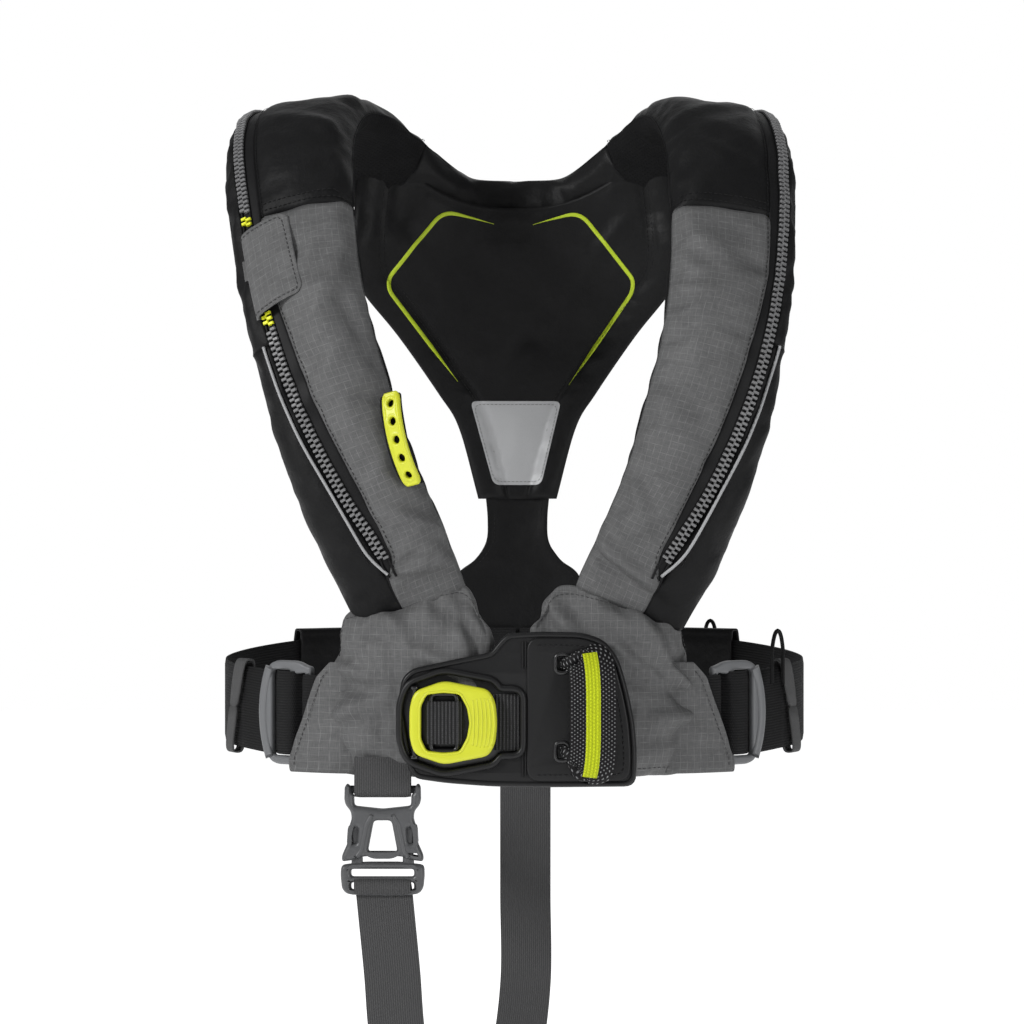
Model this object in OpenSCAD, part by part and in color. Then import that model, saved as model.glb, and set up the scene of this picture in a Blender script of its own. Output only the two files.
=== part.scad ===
// Inflatable life jacket: a horseshoe cover over the shoulders, a back yoke, a waist belt with
// two adjusters, a front release buckle, a soft harness loop and a crotch strap.
// Millimetres. X runs to the wearer's left, Y to the wearer's back, Z up. The origin is midway
// between the shoulders, at the height where the cover bears on them.

/* [Horseshoe cover] */
// Thickness of the packed lobes, as a share of the drawn one
lobe_fill = 1; // [0.9:0.05:1.1]
// Thickness of the sewn cover fabric
cover_wall = 1.6; // [1.2:0.1:2]
// Thickness of the padded liner on the body side
liner_wall = 3; // [2:0.5:3.5]
// Width of the zip chain
zip_chain_w = 8; // [6:0.5:9]

/* [Waist belt] */
// Half the width of the belt round the waist
waist_half_w = 178; // [174:1:182]
// Half the depth of the belt, front to back
waist_half_d = 112; // [109:1:114]
// Width of the belt webbing
belt_w = 50; // [45:1:50]
// Thickness of the belt webbing
belt_t = 2; // [1.5:0.1:2.2]

/* [Front closure] */
// Thickness of the moulded chest plate
plate_t = 3; // [2.5:0.5:3]
// Width of the closure and crotch webbing
strap_w = 33; // [30:1:36]
// Thickness of the closure and crotch webbing
strap_t = 1.6; // [1.2:0.1:1.8]
// Width of the harness loop webbing
loop_w = 26; // [24:1:26]

/* [Inflator] */
// Radius of the gas cylinder
gas_r = 12.5; // [11:0.5:12.5]
// Length of the gas cylinder's straight body
gas_len = 66; // [50:1:68]

/* [Hidden] */
$fn = 48;
SIDES = ["right", "left"];
SEWN = ["front_panel", "shoulder_panel", "side_panel_upper", "side_panel_lower", "liner",
        "waist_panel"];
$right = false;           // which half of the cover is being drawn

// The left half of the horseshoe, from the waist seam over the shoulder to the back of the neck:
// x, y, z, width, thickness, and the direction that its outer face looks in.
LOBE = [
    [74, -108, -277, 72, 26, 0.22, -1, 0],
    [87, -112, -252, 75, 34, 0.24, -1, 0],
    [102, -114, -216, 76, 38, 0.28, -1, 0],
    [114, -112, -176, 77, 38, 0.30, -1, 0.05],
    [124, -106, -134, 76, 36, 0.32, -1, 0.15],
    [130, -94, -92, 77, 33, 0.34, -1, 0.30],
    [132, -74, -48, 79, 30, 0.28, -0.9, 0.55],
    [130, -44, -10, 80, 27, 0.16, -0.55, 0.85],
    [122, -6, 9, 80, 26, 0.08, 0, 1],
    [106, 34, 5, 72, 26, 0.08, 0.45, 0.85],
    [78, 66, -17, 62, 26, 0.05, 0.85, 0.50],
    [40, 86, -39, 54, 26, 0, 1, 0.22],
    [0, 92, -42, 52, 26, 0, 1, 0.20]
];
LOBE_END = len(LOBE) - 1;
// The right half hangs a little differently: how much farther out it is at every station.
RIGHT_OUT = [-12, -14, -13, -11, -8.5, -4.5, 0, 5, 7, 2, 0, 0, 0];
// The zip on the right half runs this share nearer the neck at every station.
RIGHT_SEAM = [0.05, 0.05, 0.06, 0.06, 0.06, 0.06, 0.035, 0.01, 0, 0, 0, 0, 0];
// Where the grey panel ends, where the zip chain runs and where the piping runs, each as a share
// of the width from the neck side, at every station of LOBE.
SEAMS = [
    [0.50, 0.56, 0.64], [0.47, 0.54, 0.65], [0.49, 0.62, 0.70], [0.575, 0.71, 0.81],
    [0.65, 0.78, 0.88], [0.725, 0.82, 0.90], [0.735, 0.85, 0.92], [0.76, 0.875, 0.94],
    [0.78, 0.89, 0.95], [0.78, 0.89, 0.95], [0.78, 0.89, 0.95], [0.78, 0.89, 0.95],
    [0.78, 0.89, 0.95]
];
RIGHT_LOBE = [for (i = [0:len(LOBE) - 1]) concat([LOBE[i][0] + RIGHT_OUT[i]],
                                                 [for (k = [1:7]) LOBE[i][k]])];
SECTION_POWER = 2.6;      // 2 is an ellipse, and more is squarer
SHOULDER_SEAM = 5.75;        // station where the grey panel meets the shoulder panel
SIDE_SEAM = 4.15;         // station where the upper and lower side panels meet
COLLAR_SEAM = 10;         // station where the shoulder panel meets the collar panel
STEP = 0.5;               // stations between two rings of a sewn panel
EDGE = 1.2;               // degrees left at the seams between the cover and the liner
TAPE_OUT = 0.055;         // the tape reaches this share past the chain's middle
FLAP_FROM = 4.45;         // lower end of the flap over the zip
FLAP_TO = 5.6;            // upper end of the flap
TEETH_LOW = [4.36, 4.52];
TEETH_HIGH = [5.66, 5.82];
CHAIN_T = 2.4;
HAIR = 0.3;               // clearance between faces that pass each other

function lerp(a, b, t) = a + (b - a) * t;
function unit(v) = v / norm(v);
function sign_pow(v, p) = sign(v) * pow(abs(v), p);
function xyz(row) = [row[0], row[1], row[2]];

// Catmull-Rom through rows of any length, with natural ends; s counts rows.
function spline_at(rows, s) =
    let (last = len(rows) - 1, i = max(0, min(floor(s), last - 1)), t = s - i,
         b = rows[i], c = rows[i + 1],
         a = i > 0 ? rows[i - 1] : 2 * b - c,
         d = i + 2 <= last ? rows[i + 2] : 2 * c - b)
    0.5 * (2 * b + (c - a) * t + (2 * a - 5 * b + 4 * c - d) * t * t
           + (3 * b - a - 3 * c + d) * t * t * t);

// The lobe's frame at station s: [centre, across, outward, along, half width, half thickness].
function lobe_frame(s, right) =
    let (rows = (is_undef(right) ? $right : right) ? RIGHT_LOBE : LOBE, row = spline_at(rows, s), e = 0.02,
         along = unit(xyz(spline_at(rows, s + e)) - xyz(spline_at(rows, s - e))),
         face = unit([row[5], row[6], row[7]]),
         across = unit(cross(along, face)),
         outward = cross(across, along))
    [xyz(row), across, outward, along, row[3] / 2, row[4] / 2 * lobe_fill];

// The angle round the section at which a share f of the width is reached on the outer face.
function angle_of(f) = acos(sign_pow(1 - 2 * f, SECTION_POWER / 2));
// A point of the lobe's skin: angle 0 is the neck edge, 90 the outer face, 180 the far edge.
function lobe_point(s, angle, off, right) =
    let (f = lobe_frame(s, right), p = 2 / SECTION_POWER)
    f[0] - f[1] * (f[4] + off) * sign_pow(cos(angle), p)
         + f[2] * (f[5] + off) * sign_pow(sin(angle), p);
function seam_angle(s, which, extra = 0) =
    angle_of(min(0.985, spline_at(SEAMS, s)[which] + extra - ($right ? spline_at(RIGHT_SEAM, s) : 0)));

function stations(from, to, step = STEP) =
    let (n = max(1, ceil((to - from) / step - 0.001))) [for (i = [0:n]) from + (to - from) * i / n];
function mirrored(p) = [-p[0], p[1], p[2]];
function reversed(list) = [for (i = [len(list) - 1:-1:0]) list[i]];
// Rows for the left half, carried on over the middle to the right half.
function both_halves(rows) =
    concat([for (i = [0:len(rows) - 1]) [for (p = rows[i]) mirrored(p)]],
           [for (i = [len(rows) - 2:-1:0]) rows[i]]);

function quad(a, b, c, d) = [[a, b, c], [a, c, d]];
function turned(faces, flip) = flip ? [for (f = faces) reversed(f)] : faces;

// A plate between two grids of points, closed all round. ring joins the last column to the first.
module slab(outer, inner, ring = false) {
    m = len(outer);
    n = len(outer[0]);
    size = m * n;
    last = ring ? n - 1 : n - 2;
    i = floor((m - 1) / 2);
    k = floor((n - 2) / 2);
    volume = cross(outer[i + 1][k] - outer[i][k], outer[i][k + 1] - outer[i][k])
             * (outer[i][k] - inner[i][k]);
    faces = concat(
        [for (i = [0:m - 2], k = [0:last]) let (j = (k + 1) % n)
            each quad(i * n + k, i * n + j, (i + 1) * n + j, (i + 1) * n + k)],
        [for (i = [0:m - 2], k = [0:last]) let (j = (k + 1) % n)
            each quad(size + i * n + k, size + (i + 1) * n + k, size + (i + 1) * n + j,
                      size + i * n + j)],
        ring ? [] : [for (i = [0:m - 2])
            each quad(i * n, (i + 1) * n, size + (i + 1) * n, size + i * n)],
        ring ? [] : [for (i = [0:m - 2])
            each quad((i + 1) * n + n - 1, i * n + n - 1, size + i * n + n - 1,
                      size + (i + 1) * n + n - 1)],
        [for (k = [0:last]) let (j = (k + 1) % n) each quad(j, k, size + k, size + j)],
        [for (k = [0:last]) let (j = (k + 1) % n, e = (m - 1) * n)
            each quad(e + k, e + j, size + e + j, size + e + k)]);
    polyhedron(points = concat([for (r = outer) each r], [for (r = inner) each r]),
               faces = turned(faces, volume < 0));
}

// A solid skinned over closed loops, which are convex, in order along a path.
module skin(loops) {
    m = len(loops);
    n = len(loops[0]);
    a = loops[0];
    volume = cross(a[1] - a[0], a[2] - a[0]) * (loops[1][0] - a[0]);
    faces = concat(
        [for (k = [1:n - 2]) [0, k, k + 1]],
        [for (k = [1:n - 2]) [(m - 1) * n, (m - 1) * n + k + 1, (m - 1) * n + k]],
        [for (i = [0:m - 2], k = [0:n - 1]) let (j = (k + 1) % n)
            each quad(i * n + k, (i + 1) * n + k, (i + 1) * n + j, i * n + j)]);
    polyhedron(points = [for (l = loops) each l], faces = turned(faces, volume < 0));
}

module on_side(side) {
    $right = side == "right";
    if (side == "right") mirror([1, 0, 0]) children();
    else children();
}

// ---- Horseshoe cover ----

// A strip of the lobe's skin between two stations and two angles, which are given per station.
module lobe_strip(ss, from, to, out, wall, parts = 7) {
    outer = [for (i = [0:len(ss) - 1]) [for (k = [0:parts])
        lobe_point(ss[i], lerp(from[i], to[i], k / parts), out)]];
    inner = [for (i = [0:len(ss) - 1]) [for (k = [0:parts])
        lobe_point(ss[i], lerp(from[i], to[i], k / parts), out - wall)]];
    slab(outer, inner);
}

module front_panel() {
    ss = stations(0, SHOULDER_SEAM);
    color("dimgray") lobe_strip(ss, [for (s = ss) EDGE], [for (s = ss) seam_angle(s, 0)], 0, cover_wall);
}

module shoulder_panel() {
    ss = stations(SHOULDER_SEAM, COLLAR_SEAM);
    color([0.1, 0.1, 0.1])
        lobe_strip(ss, [for (s = ss) EDGE], [for (s = ss) seam_angle(s, 0)], 0, cover_wall);
}

module side_panel(from, to) {
    ss = stations(from, to);
    color([0.09, 0.09, 0.09])
        lobe_strip(ss, [for (s = ss) seam_angle(s, 1, TAPE_OUT)], [for (s = ss) 180 - EDGE], 0, cover_wall, 5);
}

module liner() {
    ss = stations(0, COLLAR_SEAM);
    color([0.06, 0.06, 0.06])
        lobe_strip(ss, [for (s = ss) 180 + EDGE], [for (s = ss) 360 - EDGE], 0, liner_wall, 8);
}

// The strips behind the neck run over both halves in one piece.
module neck_strip(from, to, wall, parts) {
    ss = stations(COLLAR_SEAM + 0.04, LOBE_END);
    function rows(out) = [for (s = ss) [for (k = [0:parts])
        lobe_point(s, lerp(from(s), to(s), k / parts), out)]];
    slab(both_halves(rows(0)), both_halves(rows(-wall)));
}

module collar_panel() {
    color([0.09, 0.09, 0.09]) {
        neck_strip(function (s) EDGE, function (s) seam_angle(s, 0), cover_wall, 7);
        neck_strip(function (s) seam_angle(s, 1, TAPE_OUT), function (s) 180 - EDGE, cover_wall, 4);
    }
}

module neck_liner() {
    color([0.06, 0.06, 0.06])
        neck_strip(function (s) 180 + EDGE, function (s) 360 - EDGE, liner_wall, 8);
}

module zip_tape() {
    ss = stations(0, LOBE_END);
    lobe_strip(ss, [for (s = ss) seam_angle(s, 0, 0.008)], [for (s = ss) seam_angle(s, 1, TAPE_OUT - 0.008)],
               -0.2, 1, 2);
}

module zip_tapes() {
    color([0.08, 0.08, 0.08]) for (side = SIDES) on_side(side) zip_tape();
}

// A ribbon on the skin, centred on the zip chain's line.
module chain_ribbon(from, to, lift, tall, wide) {
    ss = stations(from, to, 0.34);
    loops = [for (s = ss) let (f = lobe_frame(s), a = seam_angle(s, 1), p = lobe_point(s, a, lift),
                               q = lobe_point(s, a + 3, lift), side = unit(q - p),
                               up = unit(cross(side, f[3])))
        [p - side * wide / 2, p + side * wide / 2, p + side * wide / 2 + up * tall,
         p - side * wide / 2 + up * tall]];
    skin(loops);
}

module zip_chains() {
    color("silver") {
        chain_ribbon(0.9, LOBE_END, HAIR, CHAIN_T, zip_chain_w);
        on_side("right") {
            chain_ribbon(0.9, TEETH_LOW[0], HAIR, CHAIN_T, zip_chain_w);
            chain_ribbon(TEETH_LOW[1], TEETH_HIGH[0], HAIR, CHAIN_T, zip_chain_w);
            chain_ribbon(TEETH_HIGH[1], LOBE_END, HAIR, CHAIN_T, zip_chain_w);
        }
    }
}

// The weak teeth that let the zip burst open when the bladder fills.
module zip_break_teeth() {
    color("yellow") on_side("right") for (span = [TEETH_LOW, TEETH_HIGH])
        chain_ribbon(span[0] + 0.02, span[1] - 0.02, HAIR, CHAIN_T, zip_chain_w);
}

// Puts its children in the lobe's frame at station s, at an angle on the skin: X across,
// Y outward and Z along the zip.
module at_chain(s, lift = 0) {
    f = lobe_frame(s);
    a = seam_angle(s, 1);
    p = lobe_point(s, a, lift);
    side = unit(lobe_point(s, a + 3, lift) - p);
    up = unit(cross(side, f[3]));
    along = cross(side, up);
    multmatrix([[side[0], up[0], along[0], p[0]], [side[1], up[1], along[1], p[1]],
                [side[2], up[2], along[2], p[2]], [0, 0, 0, 1]]) children();
}

SLIDER_AT = 5.1;
SLIDER_LEN = 13;
module zip_slider() {
    w = zip_chain_w + 2 * (0.9 + 1.2);
    top = CHAIN_T + HAIR + 0.6;
    color("gray") on_side("right") at_chain(SLIDER_AT) difference() {
        translate([-w / 2, HAIR + 0.4, -SLIDER_LEN / 2]) cube([w, top + 0.6, SLIDER_LEN]);
        translate([-w / 2 + 1.2, 0, -SLIDER_LEN]) cube([w - 2.4, top, 2 * SLIDER_LEN]);
    }
}

FLAP_T = 1.2;
FLAP_LIFT = 6.8;
FLAP_SLANT = 0.35;        // stations that the free edge sits above the hinged one
// The flap is hinged along its outer edge, just past the chain.
module zip_flap() {
    ss = stations(FLAP_FROM, FLAP_TO, 0.28);
    parts = 5;
    function point(s, share, lift) =
        let (a = lerp(seam_angle(s, 1, 0.06), angle_of(0.5), share))
        lobe_point(s + FLAP_SLANT * share, a, lift - 2.2 * share * share);
    color("dimgray") on_side("right")
        slab([for (s = ss) [for (k = [0:parts]) point(s, k / parts, FLAP_LIFT + FLAP_T)]],
             [for (s = ss) [for (k = [0:parts]) point(s, k / parts, FLAP_LIFT)]]);
}

PIPE_R = 1.3;
module piping() {
    ss = stations(0.55, SIDE_SEAM, 0.3);
    color("silver") for (side = SIDES) on_side(side)
        skin([for (s = ss) let (f = lobe_frame(s), a = seam_angle(s, 2),
                                p = lobe_point(s, a, PIPE_R + 0.1),
                                u = unit(lobe_point(s, a + 3, PIPE_R) - lobe_point(s, a, PIPE_R)),
                                v = unit(cross(u, f[3])))
            [for (k = [0:7]) p + (u * cos(k * 45) + v * sin(k * 45)) * PIPE_R]]);
}

// ---- Back ----

// Rows of the yoke down the back: height at the middle, height at the edge, half width,
// depth at the middle, depth at the edge.
YOKE = [
    [-40, -34, 52, 70, 53], [-60, -52, 92, 73, 48], [-82, -81, 101, 83, 60],
    [-118, -118, 76, 95, 80], [-154, -154, 51, 101, 93], [-174, -174, 38, 103, 99],
    [-222, -222, 24, 105, 104]
];
YOKE_T = 6;
function yoke_point(r, u, back) = let (row = spline_at(YOKE, r), w = u * u)
    [row[2] * u, lerp(row[3], row[4], w) + back, lerp(row[0], row[1], w)];

// A patch of the yoke between two rows, with the share of the width it takes at each end.
module yoke_patch(from, to, share_from, share_to, front, thick, step = 0.5) {
    rs = stations(from, to, step);
    parts = 10;
    function row(r, back) = let (share = lerp(share_from, share_to, (r - from) / (to - from)))
        [for (k = [0:parts]) yoke_point(r, share * (2 * k / parts - 1), back)];
    slab([for (r = rs) row(r, front - thick)], [for (r = rs) row(r, front)]);
}

module back_yoke() {
    color([0.08, 0.08, 0.08]) yoke_patch(0, 6, 1, 1, YOKE_T, YOKE_T, 0.4);
}
// The smooth shield in the middle of the yoke, on the side that faces the wearer.
module yoke_badge() {
    color([0.12, 0.12, 0.12]) yoke_patch(0.2, 4.3, 0.75, 0.8, -0.8, 0.6);
}
module reflective_patch() {
    color("silver") yoke_patch(4.45, 5.8, 0.62, 0.6, -0.8, 0.6);
}

// The elastic strap from the yoke to the belt: height, half width and depth.
BACK_STRAP = [
    [-222.4, 20.5, 108], [-250, 20.5, 110], [-262, 28, 111], [-274, 41, 112.4],
    [-300, 42, 113.6], [-330, 42, 113.6], [-359, 42, 113.6]
];
module back_strap() {
    color([0.07, 0.07, 0.07]) slab(
        [for (r = BACK_STRAP) [for (k = [-3:3]) [r[1] * k / 3, r[2] - 1.5 - k * k * 0.35, r[0]]]],
        [for (r = BACK_STRAP) [for (k = [-3:3]) [r[1] * k / 3, r[2] + 1.5 - k * k * 0.35, r[0]]]]);
}

// ---- Waist belt ----

BELT_FRONT_Z = -350;
BELT_RISE = 19;   // the belt sits this much higher at the back
// The belt's line: angle 0 is the middle of the front and 180 the middle of the back.
function waist_point(phi, off, z) =
    let (n = unit([sin(phi) * waist_half_d, -cos(phi) * waist_half_w, 0]))
    [waist_half_w * sin(phi), -waist_half_d * cos(phi) - 2, z] + n * off;
function belt_z(phi) = BELT_FRONT_Z + BELT_RISE * pow((1 - cos(phi)) / 2, 2);

module belt_band(from, to, wide, thick, off, parts) {
    phis = [for (i = [0:parts]) lerp(from, to, i / parts)];
    slab([for (a = phis) [for (h = [-0.5, 0.5]) waist_point(a, off + thick / 2, belt_z(a) + h * wide)]],
         [for (a = phis) [for (h = [-0.5, 0.5]) waist_point(a, off - thick / 2, belt_z(a) + h * wide)]]);
}
module belt() {
    color([0.05, 0.05, 0.05]) belt_band(61, 179.8, belt_w, belt_t, 0, 14);
}
module waist_webbing() {
    color([0.06, 0.06, 0.06]) for (side = SIDES) on_side(side)
        belt_band(9, 37.4, belt_w, belt_t, 0, 5);
}
// A sleeve of fabric round the belt.
module belt_sleeve(from, to, wide, thick, wall, parts) {
    phis = [for (i = [0:parts]) lerp(from, to, i / parts)];
    function loop(a, grow) = [for (c = [[-1, -1], [1, -1], [1, 1], [-1, 1]])
        waist_point(a, c[0] * (thick / 2 + grow), belt_z(a) + c[1] * (wide / 2 + grow))];
    slab([for (a = phis) loop(a, 0)], [for (a = phis) loop(a, -wall)], ring = true);
}
module belt_keepers() {
    color([0.22, 0.22, 0.22]) for (side = SIDES) on_side(side)
        belt_sleeve(66, 72, belt_w + 5, belt_t + 4, 1.2, 2);
}
module belt_loops() {
    color([0.12, 0.12, 0.11]) for (side = SIDES) on_side(side)
        belt_sleeve(128, 143, belt_w + 8, belt_t + 5, 1.6, 4);
}

// Shock-cord loops that stand up from the belt: place round the belt, height and half width.
CORD_LOOPS = [[60, 26, 6.5], [137, 14, 4]];
CORD_R = 1.3;
module cord_loops() {
    color([0.1, 0.1, 0.1]) for (loop = CORD_LOOPS) {
        n = 12;
        base = belt_z(loop[0]) + belt_w / 2 - 4;
        line = [for (k = [0:n]) let (a = 180 * k / n)
            waist_point(loop[0] - loop[2] * cos(a) * 0.32, 7, base + loop[1] * pow(sin(a), 0.8))];
        skin([for (k = [0:n]) let (t = unit(line[min(n, k + 1)] - line[max(0, k - 1)]),
                                   u = unit(cross(t, waist_point(loop[0], 1, 0) - waist_point(loop[0], 0, 0))),
                                   v = cross(t, u))
            [for (j = [0:5]) line[k] + (u * cos(j * 60) + v * sin(j * 60)) * CORD_R]]);
    }
}

// Grey waist panels: a flat sleeve that the belt webbing runs through. Place round the waist,
// top and bottom height.
WAIST_PANEL = [
    [3, -304, -386, 0], [6, -287, -386.5, 0], [9, -272, -387, 0], [15, -275, -387.5, 0],
    [21, -281, -387.5, 0], [27, -289, -387, 0], [33, -299, -386, 1], [38.8, -312, -384, 2.6]
];
WAIST_PANEL_T = 20;
SLOT_H = 54;
SLOT_T = 5;
// Each row ends with how far its top edge stands back, in degrees round the waist.
module waist_panel() {
    power = 2 / 3.4;
    n = 16;
    function loop(row, h_mid, h_half, t_half, squareness) =
        [for (k = [0:n - 1]) let (a = (k + 0.5) * 360 / n, rise = sign_pow(sin(a), squareness))
            waist_point(row[0] - row[3] * (rise + 1) / 2,
                        t_half * sign_pow(cos(a), squareness), h_mid + h_half * rise)];
    color("dimgray") slab(
        [for (r = WAIST_PANEL) loop(r, (r[1] + r[2]) / 2, (r[1] - r[2]) / 2, WAIST_PANEL_T / 2, power)],
        [for (r = WAIST_PANEL) loop(r, belt_z(r[0]), SLOT_H / 2, SLOT_T / 2, 0.2)], ring = true);
}

// ---- Belt adjusters ----

ADJ_AT = 41.5;      // where the hinge bar stands round the waist
ADJ_L = 42;         // length along the belt
ADJ_H = 62;         // height
ADJ_T = 5;          // thickness
ADJ_BAR_R = 2.3;    // the bar that the waist webbing folds round
ADJ_TURN = 36;      // the frame's direction in plan
// Puts its children at the hinge bar: X along the belt to the back, Y outward, Z up.
module at_adjuster() {
    p = waist_point(ADJ_AT, 3.6, BELT_FRONT_Z);
    translate(p) rotate([0, 0, ADJ_TURN - 180]) mirror([1, 0, 0]) children();
}
module adjuster() {
    color("gray") at_adjuster() {
        difference() {
            rotate([90, 0, 0]) linear_extrude(ADJ_T, center = true) difference() {
                union() {
                    translate([3, -ADJ_H / 2 + 5]) square([ADJ_L - 14, ADJ_H - 10]);
                    translate([6, -ADJ_H / 2]) square([ADJ_L - 20, ADJ_H]);
                    intersection() {
                        translate([ADJ_L - 64, 0]) circle(r = 60, $fn = 96);
                        translate([20, -ADJ_H / 2 + 2]) square([40, ADJ_H - 4]);
                    }
                }
                translate([-4, -24]) square([14, 48]);
                translate([13.5, -25.6]) square([14.5, 51.2]);
            }
        }
        cylinder(r = ADJ_BAR_R, h = 49, center = true);
        for (end = [-1, 1]) translate([-2.3, -2.3, end > 0 ? 24 : -28]) cube([12, 4.6, 4]);
    }
}
// The waist webbing's end, folded round the hinge bar.
module adjuster_folds() {
    color([0.05, 0.05, 0.05]) for (side = SIDES) on_side(side) at_adjuster() difference() {
        cylinder(r = ADJ_BAR_R + 0.3 + 1.6, h = 46, center = true);
        cylinder(r = ADJ_BAR_R + 0.3, h = 60, center = true);
    }
}

// ---- Front closure ----

PLATE_Y = -127;         // the plate's back face
BUCKLE_Z = -352.6;      // middle of the buckle
PLATE_OUTLINE = [
    [-66, -345], [-63, -327], [-57, -321.5], [-29, -315.5], [-11.5, -312], [-7, -306],
    [-2, -301], [17, -300], [42, -300.5], [55, -305], [63, -316], [68, -333], [72, -352],
    [73.5, -370], [73, -390], [26, -390.5], [-11, -390], [-38, -388], [-58, -385], [-62, -368]
];
RING_OUTLINE = [
    [-58.3, 9], [-55.5, 18.3], [-38.5, 24.3], [-12.5, 19.3], [-8.5, 12], [-7.4, 0],
    [-8.5, -12], [-12.5, -19.3], [-38.5, -24.3], [-55.5, -18.3], [-58.3, -9]
];
RING_WINDOW = [
    [-51.6, 8], [-48.5, 15.2], [-38, 17.7], [-28.5, 15], [-24.5, 9], [-23, 0], [-24.5, -9],
    [-28.5, -15], [-38, -17.7], [-48.5, -15.2], [-51.6, -8]
];
// Stands a drawing made in X and Z up on its back face at depth y, growing forward.
module upright(y, thick) {
    translate([0, y, 0]) rotate([90, 0, 0]) linear_extrude(thick) children();
}
module plate_window() {
    translate([0, BUCKLE_Z]) {
        offset(delta = 3.6) polygon(RING_OUTLINE);
        translate([-20, -strap_w / 2 - 1]) square([25.6, strap_w + 2]);
    }
}
module chest_plate() {
    color([0.1, 0.1, 0.1]) upright(PLATE_Y, plate_t) difference() {
        offset(r = 4) offset(delta = -4) polygon(PLATE_OUTLINE);
        plate_window();
        for (e = EYELETS) translate(e) square([5.4, 8.4], center = true);
    }
}
module buckle_bezel() {
    color([0.12, 0.12, 0.12]) upright(PLATE_Y - plate_t, 3) difference() {
        offset(delta = 3.4) plate_window();
        plate_window();
    }
}
module buckle_base() {
    color([0.05, 0.05, 0.05]) {
        upright(PLATE_Y + 1.6, 1.6) offset(delta = 3) plate_window();
        for (end = [-1, 1]) translate([POST_X, RING_MID_Y, BUCKLE_Z + end * 20.1 - 0.9])
            difference() {
                translate([-1.7, -2, 0]) cube([3.4, PLATE_Y - RING_MID_Y + 2, 1.8]);
                translate([0, 0, -1]) cylinder(r = POST_R, h = 5);
            }
    }
}
RING_T = 7;
RING_MID_Y = -133.5;
POST_X = -55.5;
POST_R = 1.2;
module buckle_post() {
    color("gray") translate([POST_X, RING_MID_Y, BUCKLE_Z]) cylinder(r = POST_R, h = 41.8, center = true);
}
module buckle_frame() {
    grip_from = -20.5;
    color("yellow") difference() {
        upright(RING_MID_Y + RING_T / 2, RING_T) translate([0, BUCKLE_Z]) difference() {
            polygon(RING_OUTLINE);
            polygon(RING_WINDOW);
        }
        translate([POST_X, RING_MID_Y, BUCKLE_Z]) cylinder(r = POST_R + 0.08, h = 60, center = true);
        for (k = [0:3]) translate([grip_from + k * 2.8, RING_MID_Y - RING_T / 2 - 0.1, BUCKLE_Z - 14])
            cube([1, 0.9, 28]);
    }
}
// Two bars inside the ring that the closure webbing is laced round.
BARS_X = [-46, -30.8];
module buckle_bars() {
    color([0.15, 0.15, 0.15]) for (x = BARS_X)
        translate([x, RING_MID_Y, BUCKLE_Z]) cylinder(r = 1.5, h = 34, center = true);
}
module buckle_webbing_fold() {
    color([0.07, 0.07, 0.07]) difference() {
        translate([BARS_X[0] - 3.4, RING_MID_Y - 3.4, BUCKLE_Z - 12.4]) cube([22, 6.8, 24.8]);
        translate([BARS_X[0] - 1.8, RING_MID_Y - 1.8, BUCKLE_Z - 16]) cube([18.8, 3.6, 32]);
    }
}
module buckle_webbing_tail() {
    color([0.07, 0.07, 0.07]) translate([-21, PLATE_Y - 0.4 - strap_t, BUCKLE_Z - strap_w / 2])
        cube([26, strap_t, strap_w]);
}

// The two holes that the harness loop comes out of, in X and Z.
EYELETS = [[30, -318.5], [30, -369.5]];
module harness_eyelets() {
    color([0.08, 0.08, 0.08]) for (e = EYELETS) upright(PLATE_Y - plate_t - 0.01, 2.4)
        translate(e) difference() {
            offset(r = 3) square([4.6, 7.6], center = true);
            square([5.4, 8.4], center = true);
        }
}
LOOP_PIVOT = [30, -133.2];   // X and Y of the line that the harness loop swings about
LOOP_MID_X = 46;
LOOP_Z = [-382.6, -313.6];
LOOP_T = 3.6;
LOOP_OUT_Y = -143.5;
// The loop's line, in Y and Z.
function loop_line() = let (mid = (LOOP_Z[0] + LOOP_Z[1]) / 2, half = (LOOP_Z[1] - LOOP_Z[0]) / 2)
    [for (k = [0:16]) let (a = -90 + 180 * k / 16)
        [LOOP_OUT_Y + LOOP_T / 2 + 6.5 * pow(abs(sin(a)), 3), mid + half * sign_pow(sin(a), 0.62)]];
module loop_band(wide, out, thick) {
    line = loop_line();
    last = len(line) - 1;
    function edge(k, off) = let (t = unit(line[min(last, k + 1)] - line[max(0, k - 1)]),
                                 n = [-t[1], t[0]], p = line[k] + n * off)
        [for (x = [-wide / 2, wide / 2]) [LOOP_MID_X + x, p[0], p[1]]];
    slab([for (k = [0:last]) edge(k, out)], [for (k = [0:last]) edge(k, out - thick)]);
}
module harness_loop() {
    color([0.08, 0.08, 0.08]) {
        loop_band(loop_w, LOOP_T / 2, LOOP_T);
        for (k = [0, 1]) translate([LOOP_PIVOT[0], LOOP_PIVOT[1], EYELETS[k][1]])
            cylinder(r = 2.2, h = 8, center = true);
        for (z = [[-322.5, LOOP_Z[1] + 0.8], [LOOP_Z[0] - 0.8, -365.5]])
            translate([LOOP_PIVOT[0] + 1, LOOP_PIVOT[1] - 5, z[0]]) cube([8, 5.4, z[1] - z[0]]);
    }
}
module harness_stripe() {
    color("yellow") loop_band(8.4, LOOP_T / 2 + 0.5, 0.5);
}

// ---- Manual pull and inflator, in the right lobe ----

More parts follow.
